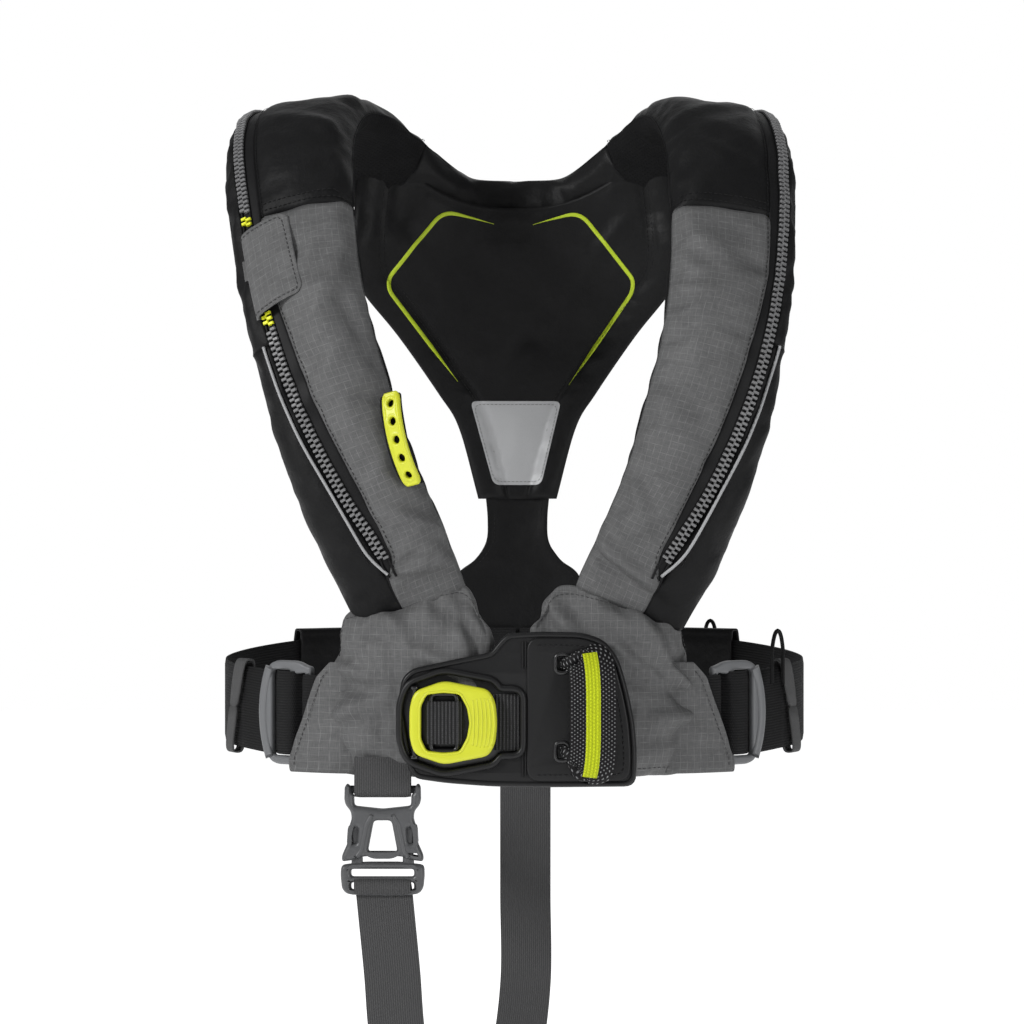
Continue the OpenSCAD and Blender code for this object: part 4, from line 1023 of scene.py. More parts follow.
# ---------------------------------------------------------------- seams over the cover
for side, right in SIDES:
    for k, s in enumerate((SHOULDER_SEAM + 0.07, SHOULDER_SEAM + 0.15)):
        sew(f"{side}_shoulder_stitch_{k}", [surface(s, a, right) for a in np.linspace(3, seam(s, 0, -0.03, right), 40)])
    run = [surface(s, seam(s, 0, -0.02, right), right) for s in np.arange(0.5, 11.9, 0.06)]
    sew(f"{side}_tape_stitch", run, pitch=3.2, length=2.2, r=0.22)
    angles = np.linspace(3, seam(COLLAR_SEAM, 0, -0.03, right), 40)
    sew(f"{side}_collar_stitch", [surface(COLLAR_SEAM - 0.08, a, right) for a in angles])

# ---------------------------------------------------------------- zip cover flap
FLAP_FROM, FLAP_TO, FLAP_SLANT = 4.45, 5.5, 0.2


def flap_point(u, v, off=0.0):
    """u runs up the flap, v from its hinge across to its free edge."""
    s = FLAP_FROM + (FLAP_TO - FLAP_FROM) * u + FLAP_SLANT * v
    a = seam(s, 1, 0.05 - 0.02 * u, True) * (1 - v) + share_angle(0.46 - 0.06 * (1 - u)) * v
    lift = np.interp(v, [0, 0.05, 0.14, 0.3, 0.5, 1.0], [3.6, 5.0, 6.1, 6.3, 5.6, 3.8])
    return skin_point(s, True, a, lift + off) + np.array([0, -0.5, 0]) * math.sin(u * 5.0 + v * 2) * v


def flap_grid(rows=26, cols=22, corner=0.09):
    """The flap, with the corners of its free edge rounded."""
    g = []
    for u in np.arange(rows + 1) / rows:
        e = min(1.0, min(u, 1 - u) / corner)
        reach = 1 - corner * (1 - math.sqrt(1 - (1 - e) ** 2))
        g.append([flap_point(u, reach * j / cols) for j in range(cols + 1)])
    return np.array(g)


FLAP_OUT, HINGE_OUT = np.array([-0.6, -0.8, 0.1]), np.array([-0.9, -0.3, 0])
add(sheet_piece("zip_cover_flap", flap_grid(), GREY, 1.2, FLAP_OUT), "cover_flap", ["zip_flap"])
edge = [flap_point(0.04, v, 0.2) for v in np.linspace(0.03, 0.9, 18)]
edge += [flap_point(u, 0.93, 0.2) for u in np.linspace(0.09, 0.91, 26)]
edge += [flap_point(0.96, v, 0.2) for v in np.linspace(0.9, 0.03, 18)]
sew("zip_flap_stitches", edge, unit(FLAP_OUT), GREY_THREAD, r=0.25, body="cover_flap")
rows = []
for u in np.linspace(0.02, 0.98, 24):
    s = FLAP_FROM + (FLAP_TO - FLAP_FROM) * u
    hinge, foot = flap_point(u, 0.0, -0.4), skin_point(s, True, seam(s, 1, 0.05, True), 0.4)
    rows.append([hinge * (1 - w) + foot * w + HINGE_OUT * math.sin(math.pi * w) for w in np.linspace(0, 1, 6)])
add(sheet_piece("zip_flap_hinge_tape", np.array(rows), GREY, 0.8, HINGE_OUT), "jacket")

# ---------------------------------------------------------------- back yoke
YOKE_EDGE = [[92, 12], [99, -12], [103, -40], [104.5, -60], [103.5, -78], [97, -92], [76, -118], [51, -154],
             [38, -176], [25.5, -222]]
YOKE_DEPTH = np.array([      # height, depth in the middle, depth at the edge
    [-222, 105, 104], [-174, 103, 99], [-154, 101, 93], [-118, 95, 80], [-82, 83, 60], [-60, 75, 50],
    [-40, 71, 52], [12, 60, 44]], float)


def yoke_depth(x, z, half):
    mid = np.interp(z, YOKE_DEPTH[:, 0], YOKE_DEPTH[:, 1])
    far = np.interp(z, YOKE_DEPTH[:, 0], YOKE_DEPTH[:, 2])
    return mid + (far - mid) * np.clip(x / np.maximum(half, 1), -1, 1) ** 2


YOKE_ROWS, YC = 72, 58
yoke_rows = []
for i, (ex, ez) in enumerate(even(splined(YOKE_EDGE, 91), YOKE_ROWS)):
    t = i / YOKE_ROWS
    cz = -36 + (-222 + 36) * t**1.12
    u = np.linspace(-1, 1, YC + 1)
    z = cz + (ez - cz) * np.abs(u) ** (2.4 if t < 0.5 else 2.0)
    yoke_rows.append(np.stack([ex * u, yoke_depth(ex * u, z, ex), z], 1))
YG = np.array(yoke_rows)
sides = np.concatenate([YG[:, 0][:, [0, 2]], YG[:, -1][:, [0, 2]]])


def far_from(points, x, z):
    d = np.full(np.shape(x), 1e9)
    for p in points:
        d = np.minimum(d, np.hypot(x - p[0], z - p[1]))
    return d


SIDE_D = far_from(sides, YG[..., 0], YG[..., 2])
END_D = far_from(YG[-1][:, [0, 2]], YG[..., 0], YG[..., 2])
TOP_D = far_from(YG[0][:, [0, 2]], YG[..., 0], YG[..., 2])
border = 19.0
roll = np.where(SIDE_D < border, 3.4 * np.sin(np.pi * np.clip(SIDE_D / border, 0, 1)) ** 0.7, 0)
seam_line = -1.1 * np.exp(-(((SIDE_D - border) / 1.3) ** 2))
shield = np.where(SIDE_D >= border, 2.0 * (1 - np.exp(-(SIDE_D - border) / 9)), 0)
x, z = YG[..., 0], YG[..., 2]
drape = 0.9 * wobble(z / 15 + x / 26, 41) + 0.6 * wobble(x / 11 - z / 30, 42)
drape += 2.2 * np.exp(-((x + 58 + (z + 70) * 0.6) / 7) ** 2) * np.exp(-(((z + 68) / 26) ** 2))
drape += 2.1 * np.exp(-((x - 52 - (z + 66) * 0.7) / 6) ** 2) * np.exp(-(((z + 64) / 24) ** 2))
drape -= 1.8 * np.exp(-((x - 20 - (z + 100) * 0.8) / 8) ** 2) * np.exp(-(((z + 108) / 30) ** 2))
gather = 0.8 * wobble(z / 3.3, 43) * np.exp(-(((SIDE_D - border + 5) / 5) ** 2))
hem = np.clip(SIDE_D / 3.0, 0, 1) ** 0.5 * np.clip((END_D + 1) / 4.0, 0.2, 1) ** 0.5
front = roll + seam_line + shield + drape * np.clip((SIDE_D - 12) / 12, 0, 1) + gather
front = front * np.clip(TOP_D / 8, 0.15, 1) * hem
yoke_front = YG.copy()
yoke_front[..., 1] -= 1.2 + front
yoke_back = YG.copy()
yoke_back[..., 1] += 1.6 + hem * (2.2 + 0.5 * wobble(x / 19 + z / 23, 44)) * np.clip(TOP_D / 8, 0.2, 1)
loop = np.concatenate([yoke_front, yoke_back[:, ::-1]], 1)
yf = grid_faces(loop.shape[0], loop.shape[1], ring=True)
n2 = loop.shape[1]
for start in (0, (loop.shape[0] - 1) * n2):
    yf += [(start + j, start + j + 1, start + n2 - 2 - j, start + n2 - 1 - j) for j in range(YC)]
flat = np.stack([x, z], 2)
yuv = np.concatenate([flat, flat[:, ::-1]], 1).reshape(-1, 2) / 100
yoke = outward_faces(mesh_object("back_yoke_padded", loop.reshape(-1, 3), yf, yuv, SMOOTH))
add(yoke, "jacket", ["back_yoke", "yoke_badge"])

class Surface:
    """Finds the depth of a piece's front face."""
    def __init__(self, ob):
        self.tree = BVHTree.FromObject(ob, bpy.context.evaluated_depsgraph_get())

    def front(self, x, z, default):
        hit = self.tree.ray_cast(Vector((x * MM, -0.4, z * MM)), Vector((0, 1, 0)))[0]
        return default if hit is None else hit[1] / MM


yoke_skin = Surface(yoke)


def printed_line(name, skin, path, width, material, taper, lift, step=1.2, default=90.0):
    """A flat printed line along a path in X and Z, laid on a piece's front and tapering at both ends."""
    p = np.asarray(path, float)
    d = run_length(p)
    q = np.linspace(0, d[-1], int(d[-1] / step) + 1)
    c = at_length(q, d, p).T
    t = unit(np.gradient(c, axis=0))
    s = np.stack([-t[:, 1], t[:, 0]], 1)
    w = width / 2 * np.clip(np.minimum(q, d[-1] - q) / taper, 0.12, 1)
    rows = []
    for centre, across, half in zip(c, s, w):
        row = []
        for side_at, up in ((-1, 0.0), (-0.85, 1.0), (0, 1.0), (0.85, 1.0), (1, 0.0)):
            x, z = centre + across * half * side_at
            row.append((x, skin.front(x, z, default) - lift * up - 0.02, z))
        rows.append(row)
    g = np.array(rows)
    return mesh_object(name, g.reshape(-1, 3), grid_faces(g.shape[0], 5), grid_uv(g), material)


for name, ends, corners in (
        ("yoke_line_left", ((-14.5, -46), (-38.5, -146)), [(-15.5, -45.5), (-46.5, -38), (-82, -81), (-81.5, -89), (-38.5, -146)]),
        ("yoke_line_right", ((10.5, -46.5), (33.5, -148)), [(11.5, -46), (40.5, -38.5), (75, -82), (74, -90), (33.5, -148)])):
    line = [ends[0]] + [tuple(p) for p in rounded(corners, 9)[5:-5]] + [ends[1]]
    add(printed_line(name, yoke_skin, line, 2.5, PRINT, 28.0, 0.3), "jacket")

# border stitches on both sides of the groove
for tag, columns in (("left", range(YC // 2 + 1)), ("right", range(YC, YC // 2 - 1, -1))):
    for k, inset in enumerate((border - 1.6, border + 1.6)):
        path = []
        for i in range(6, 71):
            dd = SIDE_D[i]
            for prev, j in zip(columns, columns[1:]):
                if dd[j] >= inset > dd[prev]:
                    w = (inset - dd[prev]) / max(dd[j] - dd[prev], 1e-6)
                    path.append(yoke_front[i, prev] * (1 - w) + yoke_front[i, j] * w)
                    break
        sew(f"yoke_stitch_{tag}_{k}", path, FRONT, r=0.24)

# reflective patch
PATCH_OUT = rounded([(-30.5, -158.5), (28.5, -158.5), (15.5, -213), (-15.5, -213)], 4.5)


def laid_on(name, skin, outline, material, thick, lift, default, step=2.5):
    """A thin patch inside an outline in X and Z, laid over a piece's front."""
    ob = flat_piece(name, outline, [], thick, thick * 0.4, facing(0), material)
    bm = bmesh.new()
    bm.from_mesh(ob.data)
    for axis, normal in ((2, (0, 0, 1)), (0, (1, 0, 0))):
        at = [v.co[axis] for v in bm.verts]
        for cut in np.arange(min(at) + step * MM, max(at), step * MM):
            geometry = bm.verts[:] + bm.edges[:] + bm.faces[:]
            bmesh.ops.bisect_plane(bm, geom=geometry, plane_co=Vector(normal) * cut, plane_no=normal)
    for v in bm.verts:
        v.co.y += (skin.front(v.co.x / MM, v.co.z / MM, default) - lift) * MM
    bm.to_mesh(ob.data)
    bm.free()
    return ob


patch = laid_on("reflective_trapezoid", yoke_skin, PATCH_OUT, PATCH, 0.5, 0.45, 102)
add(patch, "jacket", ["reflective_patch"])
inner = [p * [0.93, 1] for p in rounded([(-30.5, -160.8), (28.5, -160.8), (15.9, -210.8), (-15.9, -210.8)], 4.5)]
path = [[x, yoke_skin.front(x, z, 102) - 0.75, z] for x, z in even(inner + inner[:1], 60)]
sew("reflective_stitches", path, FRONT, TEETH, 2.6, 1.9, 0.2)

# ---------------------------------------------------------------- strap from the yoke to the belt
BACK = [      # height, half width, depth
    [-214, 21.5, 106.4], [-222.4, 20.5, 107.3], [-236, 19.5, 109], [-250, 20.5, 110], [-262, 28, 111],
    [-274, 41, 112.4], [-300, 42, 113.6], [-330, 42, 113.6], [-376, 42, 113.6]]
BACK_BOW = 3.15
back_rows = []
for z, half, y in splined(BACK, 49):
    u = np.linspace(-1, 1, 21)
    hem = 1.0 * np.exp(-(((np.abs(u) - 0.86) / 0.1) ** 2))
    yy = y - BACK_BOW * u * u + 0.45 * wobble(z / 9 + u * 2.1, 51) - hem
    back_rows.append(np.stack([half * u, yy, np.full(21, z)], 1))
back = sheet_piece("back_strap_cloth", np.array(back_rows) - np.array([0, 1.4, 0]), BLACK, 2.8, FRONT)
add(back, "jacket", ["back_strap"])
for name, sgn in (("left", 1), ("right", -1)):
    path = []
    for s in np.linspace(0.2, len(BACK) - 1.3, 60):
        z, half, y = spline(BACK, s)
        path.append([sgn * (half - 4.5), y - BACK_BOW * ((half - 4.5) / half) ** 2 - 1.7, z])
    sew(f"back_strap_stitch_{name}", path, FRONT, r=0.24)

# ---------------------------------------------------------------- waist belt
HALF_W, HALF_D, FRONT_Z, RISE = 178.0, 112.0, -350.0, 19.0


def waist_dir(phi):
    a = math.radians(phi)
    return unit(np.array([math.sin(a) * HALF_D, -math.cos(a) * HALF_W, 0]))


def waist(phi, off=0.0, z=0.0):
    a = math.radians(phi)
    return np.array([HALF_W * math.sin(a), -HALF_D * math.cos(a) - 2, z]) + waist_dir(phi) * off


def belt_z(phi):
    return FRONT_Z + RISE * ((1 - math.cos(math.radians(phi))) / 2) ** 2


ADJ = waist(41.5, 3.6, FRONT_Z)
ADJ_TURN = math.radians(36)
AX = np.array([math.cos(ADJ_TURN), math.sin(ADJ_TURN), 0])     # along the adjuster's width
AO = np.array([math.sin(ADJ_TURN), -math.cos(ADJ_TURN), 0])    # outward from its face


def at_adj(x, y, z=0.0):
    return ADJ + AX * x + AO * y + UP * z


for side, right in SIDES:
    frame_body = side + "_adjuster_frame"
    # the belt: in behind the outer bar, out through the slot, over the middle bar and back in
    line = [at_adj(*p) for p in ((6.2, -5.2), (8.4, -1.0), (10.2, 2.6), (12.6, 4.0), (16, 3.9), (21, 2.4), (25.2, -0.4),
                                 (28.5, -3.4), (33, -4.6), (39, -4.8))]
    for phi in np.linspace(64, 179.6, 44):
        line.append(waist(phi, 0.6 * math.sin(phi / 7) * max(0, 1 - abs(phi - 75) / 30), belt_z(phi)))
    belt = ribbon(f"{side}_belt_webbing", mirrored(splined(line, 190), right), UP, 49.5, 2.0, BELT, 14)
    add(belt, None, [side + "_belt"])
    p0, p1 = mirrored(at_adj(40, -4), right), mirrored(waist(98, 0, FRONT_Z), right)
    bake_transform(belt)

    # waist webbing out of the panel, round the hinge bar and back in
    fold = [at_adj(-17, -3.4), at_adj(-9, -3.7), at_adj(-3, -3.6)]
    fold += [at_adj(3.6 * math.cos(a), 3.6 * math.sin(a)) for a in np.radians(np.arange(-75, 80, 15))]
    fold += [at_adj(-3, 3.6), at_adj(-9, 2.6), at_adj(-17, 0.6)]
    wrap = ribbon(f"{side}_waist_fold", mirrored(splined(fold, 50), right), UP, 46, 1.6, BELT, 12)
    add(wrap, "jacket", ["adjuster_folds", "waist_webbing"])

    # adjuster frame
    mid_hole = rounded(box_outline(13.5, -25.6, 28, 25.6), 2.6)
    outer = [(-2.3, -24.2), (-2.3, -27.6), (1.5, -28.4), (6, -30.2), (10, -31), (24, -31), (29, -29.4)]
    outer += [(-22 + math.sqrt(60**2 - z * z), z) for z in np.linspace(-26, 26, 19)]
    outer += [(29, 29.4), (24, 31), (10, 31), (6, 30.2), (1.5, 28.4), (-2.3, 27.6), (-2.3, 24.2)]
    shape = rounded(outer, 2.2, 3) + rounded([(2, 24.0), (10.0, 23.2), (10.0, -23.2), (2, -24.0)], 1.6, 3)
    thickness = mirrored(AO, right) * (-1 if right else 1)
    m = place(mirrored(AX, right), UP, thickness, mirrored(ADJ, right))
    plate = flat_piece(f"{side}_adjuster_plate", shape, [mid_hole], 5.0, 1.7, m, FRAME, 3)
    line = [mirrored(at_adj(0, 0, z), right) for z in np.linspace(-26, 26, 9)]
    bar = tube_piece(f"{side}_adjuster_bar", line, 2.3, FRAME, 16, up=X)
    # raised rib that parts the curved bar from the rest
    rib = [mirrored(at_adj(-25 + 60 * math.cos(math.asin(z / 66)), 2.2, z), right) for z in np.linspace(-27, 27, 28)]
    crown = tube_piece(f"{side}_adjuster_rib", rib, 3.0, FRAME, 10, flat=0.45, up=mirrored(AO, right))
    whole = joined(f"{side}_adjuster_moulding", [plate, bar, crown])
    add(whole, frame_body, [side + "_adjuster"])

    # elastic keeper, set at a slant round the belt
    rows = []
    for k in range(33):
        a = 2 * math.pi * k / 32
        cz = 27.8 * spow(math.sin(a), 0.32)
        off = 3.3 * spow(math.cos(a), 0.42)
        middle = 69.0 - cz / 27.8 * 3.6
        rows.append([waist(middle + w, off, belt_z(69) + cz) for w in np.linspace(-2.5, 2.5, 5)])
    g = mirrored(np.array(rows[:-1] + rows[:1]), right)
    keeper = sheet_piece(f"{side}_keeper", g, ELASTIC, 1.2, mirrored(waist_dir(69), right))
    add(keeper, "jacket", ["belt_keepers"])

    # sewn loop that holds the belt at the back
    rows = []
    for k in range(49):
        a = 2 * math.pi * k / 48
        cz = 29.5 * spow(math.sin(a), 0.3)
        off = (3.4 + 0.5 * wobble(np.array([a * 3]), 61)[0]) * spow(math.cos(a), 0.45)
        across = np.linspace(0, 1, 13)
        rows.append([waist(128.2 + 14.6 * w, off + 0.35 * math.sin(9 * w + a), belt_z(135) + cz) for w in across])
    g = mirrored(np.array(rows[:-1] + rows[:1]), right)
    hoop = sheet_piece(f"{side}_belt_loop", g, BLACK, 1.5, mirrored(waist_dir(135), right))
    add(hoop, "jacket", ["belt_loops"])
    for k, w in enumerate((0.08, 0.92)):
        run = [mirrored(waist(128.2 + 14.6 * w, -4.2, belt_z(135) + z), right) for z in np.linspace(-24, 24, 20)]
        sew(f"{side}_belt_loop_stitch_{k}", run, mirrored(-waist_dir(135), right), r=0.3)

# shock-cord loops
for k, (phi, high, wide) in enumerate(((60, 26, 6.5), (137, 14, 4))):
    base = belt_z(phi) + 21
    pts = []
    for a in np.radians(np.linspace(0, 180, 33)):
        spread = wide * math.cos(a) * 0.32 * (1.15 if 0.3 < math.sin(a) < 0.98 else 1.0)
        pts.append(waist(phi - spread, 7, base + high * math.sin(a) ** 0.8))
    pts = [pts[0] - UP * 6] + pts + [pts[-1] - UP * 6]
    cord = tube_piece(f"cord_loop_{k}", even(pts, 60), 1.25, BELT, 10, up=waist_dir(phi))
    add(cord, "jacket", ["cord_loops"])

# ---------------------------------------------------------------- waist panels
WAIST = np.array([
    [3, -304, -386, 0], [6, -287, -386.5, 0], [9, -272, -387, 0], [15, -275, -387.5, 0],
    [21, -280, -387.5, 0], [27, -285.5, -387, 0], [33, -291, -386.5, 0], [37.8, -324, -385, 2.6]], float)
WN, WR = 48, 57


def waist_ring(s):
    phi, top, bottom, lean = spline(WAIST, s)
    edge_fade = min(1.0, 0.42 + 0.58 * min(1.0, (7 - s) / 0.9)) * min(1.0, 0.6 + s * 0.5)
    ring = []
    for k in range(WN):
        a = 2 * math.pi * k / WN
        rise = spow(math.sin(a), 2 / 2.8)
        off = 9.6 * edge_fade * spow(math.cos(a), 2 / 2.4)
        ring.append(waist(phi - lean * (rise + 1) / 2, off, (top + bottom) / 2 + (top - bottom) / 2 * rise))
    return even(ring + ring[:1], WN)[:-1]


def fold_at(s, a, ds, da, length, width, height):
    """A fold at station s and angle a round the panel, as the row that creases() takes."""
    return (s * 8, a / 360 * WN, ds * 8, da / 360 * WN, length, width, height)


WAIST_FOLDS = [
    fold_at(6.2, 16, -1.7, 30, 54, 5.5, 5.3), fold_at(6.1, 0, -1.8, 12, 60, 5, -4.8),
    fold_at(5.8, -28, -1.8, -4, 54, 5.5, 5.0), fold_at(5.3, -48, -1.6, -8, 44, 5, -3.9),
    fold_at(4.4, 40, -1.5, 22, 48, 6, -4.5), fold_at(3.4, 14, -1.7, 26, 54, 7, 4.5),
    fold_at(2.8, -26, -1.5, 12, 50, 7, -3.9), fold_at(4.8, 62, 1.0, -26, 34, 4.5, 3.4),
    fold_at(2.4, 52, 1.0, -30, 44, 6, 4.2), fold_at(1.9, 40, 1.0, -30, 40, 5, -3.4)]


def lap_end(z):
    """Where a panel's lap over the adjuster ends, in degrees round the waist."""
    return np.interp(z, [-385, -376, -354, -328, -318], [45.6, 45.4, 42.2, 38.6, 35.2])


for side, right in SIDES:
    g = np.array([waist_ring(s) for s in np.linspace(0, 7, WR)])
    wp = np.zeros((WR, WN))
    wp[:, 12] = wp[:, 36] = 1
    wp[:, 13:36] = 0.6
    wp[:3] = wp[-2:] = 1
    g = inflate(g, wp, 2.2, 0.05, 14, 5.0, 10.0)
    nn = outward_normals(g)
    seed = 70 if right else 80
    around = np.arange(WN) / WN * 2 * math.pi
    sg = np.linspace(0, 7, WR)[:, None]
    slow = 0.9 * wobble(sg * 1.9 + around[None] * 1.3, seed) + 0.5 * wobble(sg * 3.7 - around[None] * 2.2, seed + 1)
    calm = 1 - 0.85 * np.exp(-((np.sin(around) + 1) / 0.12) ** 2)
    g = g + nn * (slow * calm[None])[..., None]

    cuts = WAIST_FOLDS
    if right:
        cuts = [(r - 3, c + 1.5, dr * 0.8, -dc * 0.8, l, w, h) for r, c, dr, dc, l, w, h in cuts]
    g = creases(g, nn, cuts)
    for col in (12, 36):
        g[:, col] -= nn[:, col] * 0.8
        beside = [col - 1, col + 1]
        g[:, beside] += nn[:, beside] * (0.35 * wobble(np.arange(WR) * 1.5, seed + 3))[:, None, None]
    g = mirrored(g, right)
    v_len = run_length(g[:, 0])
    zc = g[..., 2]
    uv = np.stack([zc, np.repeat(v_len[:, None], WN, 1)], 2).reshape(-1, 2)
    uv = np.concatenate([uv, [[zc[0].mean(), 0], [zc[-1].mean(), v_len[-1]]]]) / 100
    faces = grid_faces(WR, WN, ring=True) + fan_caps(WR, WN)
    pad = outward_faces(mesh_object(f"{side}_waist_cloth", capped(g), faces, uv, GREY))
    modifier(pad, "SUBSURF", levels=1, render_levels=1)
    add(pad, "jacket", [side + "_waist_panel"])
    skin = Surface(pad)
    rows = []
    for z in np.linspace(-384.6, -319, 30):
        row = []
        for u in np.linspace(0, 1, 26):
            phi = 30 + (lap_end(z) - 30) * u
            off = np.interp(phi, [30, 33, 36, 46], [6.6, 8.7, 9.4, 9.9])
            off += 0.55 * math.sin(z / 5.2 + u * 2.4 + seed) * u * (1 - 0.3 * u)
            off += 1.1 * math.exp(-((z + 352 + 16 * u) / 4.5) ** 2) * math.sin(math.pi * min(1, u * 1.2))
            off -= 0.8 * math.exp(-((z + 366 + 5 * u) / 4) ** 2) * u
            off -= 1.6 * math.exp(-((z + 386) / 3.0) ** 2)
            row.append(waist(phi, off, z))
        rows.append(row)
    lap = sheet_piece(f"{side}_waist_lap", mirrored(rows, right), GREY, 1.5, mirrored(waist_dir(38), right))
    spots = [lap.data.vertices[corner.vertex_index].co * 10 for corner in lap.data.loops]
    flat = np.array([(p.z, p.x * 0.86 + p.y * 0.5) for p in spots])      # the cloth runs on from the panel's
    lap.data.uv_layers["cloth"].data.foreach_set("uv", flat.reshape(-1))
    add(lap, None, [side + "_waist_panel"])
    hem = mirrored([waist(lap_end(z) - 1.5, 10.1, z) for z in np.linspace(-381, -324, 24)], right)
    hem = stitches(f"{side}_waist_lap_stitch", hem, mirrored(waist_dir(40), right), GREY_THREAD, 3.0, 2.1, 0.24)
    add(hem, None)
    bake_down(lap)
    bend = [tuple(mirrored(at_adj(x, 6), right) * MM) for x in (-13, 0)]
    for piece in (lap, hem):
        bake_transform(piece)
    for name, near, edge, inset in (("top", 9, 12, -5.5), ("hem", 39, 36, 5.5)):
        run = []
        for r in range(7, WR - 3):
            x, z = g[r, near][0], g[r, edge][2] + inset
            run.append([x, skin.front(x, z, g[r, near][1]), z])
        normal = mirrored(waist_dir(20), right)
        sew(f"{side}_waist_{name}_stitch", run, normal, GREY_THREAD, r=0.24)

# ---------------------------------------------------------------- chest plate and release buckle
BZ = -352.6
PLATE_OUT = [(-66, -345), (-63, -327), (-57, -321.5), (-29, -315.5), (-11.5, -312), (-7, -306), (-2, -301), (17, -300),
             (42, -300.5), (55, -305), (63, -316), (68, -333), (72, -352), (73.5, -370), (73, -390), (26, -390.5),
             (-11, -390), (-38, -388), (-58, -385), (-62, -368)]
PANEL_OUT = [(9.5, -303.6), (42, -303.8), (53, -307.8), (60.2, -317.5), (65, -334), (68.6, -352), (70, -370),
             (69.6, -386.8), (9.5, -387)]
PANEL_SEAM = [(9, -307.6), (41, -307.8), (50.5, -311), (56.8, -319.5), (61.4, -335), (64.8, -353), (66, -371),
              (65.6, -383), (9, -383.2)]


def top_and_bottom(half, middle=()):
    """An outline about the buckle's centre line, from its upper half and any point on the line itself."""
    below = [(x, -z) for x, z in reversed(half)]
    return [np.array(p) + [0, BZ] for p in list(half) + list(middle) + below]


RING_OUT = top_and_bottom([(-58.3, 9), (-55.5, 18.3), (-38.5, 24.3), (-12.5, 19.3), (-8.5, 12)], [(-7.4, 0)])
RING_IN = top_and_bottom([(-51.6, 9.5), (-48.3, 16.2), (-38.5, 17.3), (-29.2, 16.4), (-25.0, 8.5)], [(-23.6, 0)])
WELL = top_and_bottom([(-62.4, 10.5), (-58.4, 21.2), (-38.7, 28.2), (-10.4, 22.8), (-7, 17.6), (5.6, 17.6)])
EYES = [(30, -318.5), (30, -369.5)]


def grown(points, by):
    """An outline moved outward by a distance."""
    p = np.asarray(points, float)
    a = unit(p - np.roll(p, 1, 0))
    b = unit(np.roll(p, -1, 0) - p)
    area = 0.5 * np.sum(p[:, 0] * np.roll(p[:, 1], -1) - np.roll(p[:, 0], -1) * p[:, 1])
    k = 1 if area > 0 else -1
    n1 = np.stack([a[:, 1], -a[:, 0]], 1) * k
    n2 = np.stack([b[:, 1], -b[:, 0]], 1) * k
    n = unit(n1 + n2)
    return p + n * (by / np.maximum(np.sum(n * n1, 1), 0.5))[:, None]


well = rounded(WELL, 5, 4)
eye_holes = [rounded(box_outline(ex - 2.7, ez - 4.2, ex + 2.7, ez + 4.2), 2.4, 4) for ex, ez in EYES]
plate = flat_piece("chest_plate_moulding", rounded(PLATE_OUT, 7, 5), [well] + eye_holes, 3.2, 1.2, facing(-128.6), RUBBER, 3)
bead = ring_path(rounded(grown(PLATE_OUT, -1.8), 6, 5), -129.9, 240)
bead = tube_piece("plate_bead", bead, 1.5, RUBBER, 10, closed=True, up=(0, 1, 0))
raised = flat_piece("plate_raised_panel", rounded(PANEL_OUT, 8, 6), eye_holes, 2.6, 1.2, facing(-130.4), RUBBER, 3)
add(joined("chest_plate_rubber", [plate, bead, raised]), "jacket", ["chest_plate"])
rim = ring_path(grown(well, 2.0), -131.2, 160)
rim = tube_piece("buckle_rim", rim, 2.0, RUBBER, 12, closed=True, flat=1.1, up=(0, 1, 0))
add(rim, "jacket", ["buckle_bezel"])
seam_path = even(rounded(PANEL_SEAM, 6, 5)[5:-5], 160)
sew("plate_stitches", [[x, -131.7, z] for x, z in seam_path], FRONT, THREAD, 3.1, 2.2, 0.42, 0.05)
for k, (z0, z1) in enumerate(((-306, -321), (-369, -384))):
    for x in (7.2, 8.9):
        run = [[x, -130.6, z] for z in np.linspace(z0, z1, 12)]
        sew(f"plate_bartack_{k}_{int(x)}", run, FRONT, THREAD, 1.5, 2.6, 0.5, 0.3)

base = flat_piece("buckle_base_plate", grown(well, 2.4), [], 1.6, 0.5, facing(-126.0), DARK)
lugs = []
for end in (-1, 1):
    pts = rounded([(-57.4, -135.6), (-53.6, -135.6), (-53.0, -127), (-58.2, -127)], 1.4, 4)
    m = place((1, 0, 0), (0, -1, 0), (0, 0, -1), (0, 0, BZ + end * 20.1))
    lugs.append(flat_piece("lug", [(p[0], -p[1]) for p in pts], [], 1.8, 0.4, m, DARK))
add(joined("buckle_seat", [base] + lugs), "jacket", ["buckle_base"])

ring_i = rounded(RING_IN, 2, 4)
ring = flat_piece("ring", rounded(RING_OUT, 4.5, 6), [ring_i], 7.0, 2.1, facing(-133.5), YELLOW, 4)
ribs = []
for k in range(6):
    x0 = -21.6 + k * 2.15
    half = 14.5 - 0.5 * abs(k - 2.5)
    path = []
    for z in np.linspace(-half, half, 15):
        bow = 1.9 * (1 - (z / half) ** 2) * (0.25 + k / 8)
        path.append([x0 + bow, -136.85 + 0.35 * abs(z / half) ** 3, BZ + z])
    ribs.append(tube_piece("rib", path, 0.72, YELLOW, 8, flat=0.9, up=(0, 1, 0)))
lip = ring_path(grown(ring_i, 1.0), -136.6, 90)
ribs.append(tube_piece("lip", lip, 0.8, YELLOW, 8, closed=True, up=(0, 1, 0)))
add(joined("release_ring", [ring] + ribs), "release_ring", ["buckle_frame"])
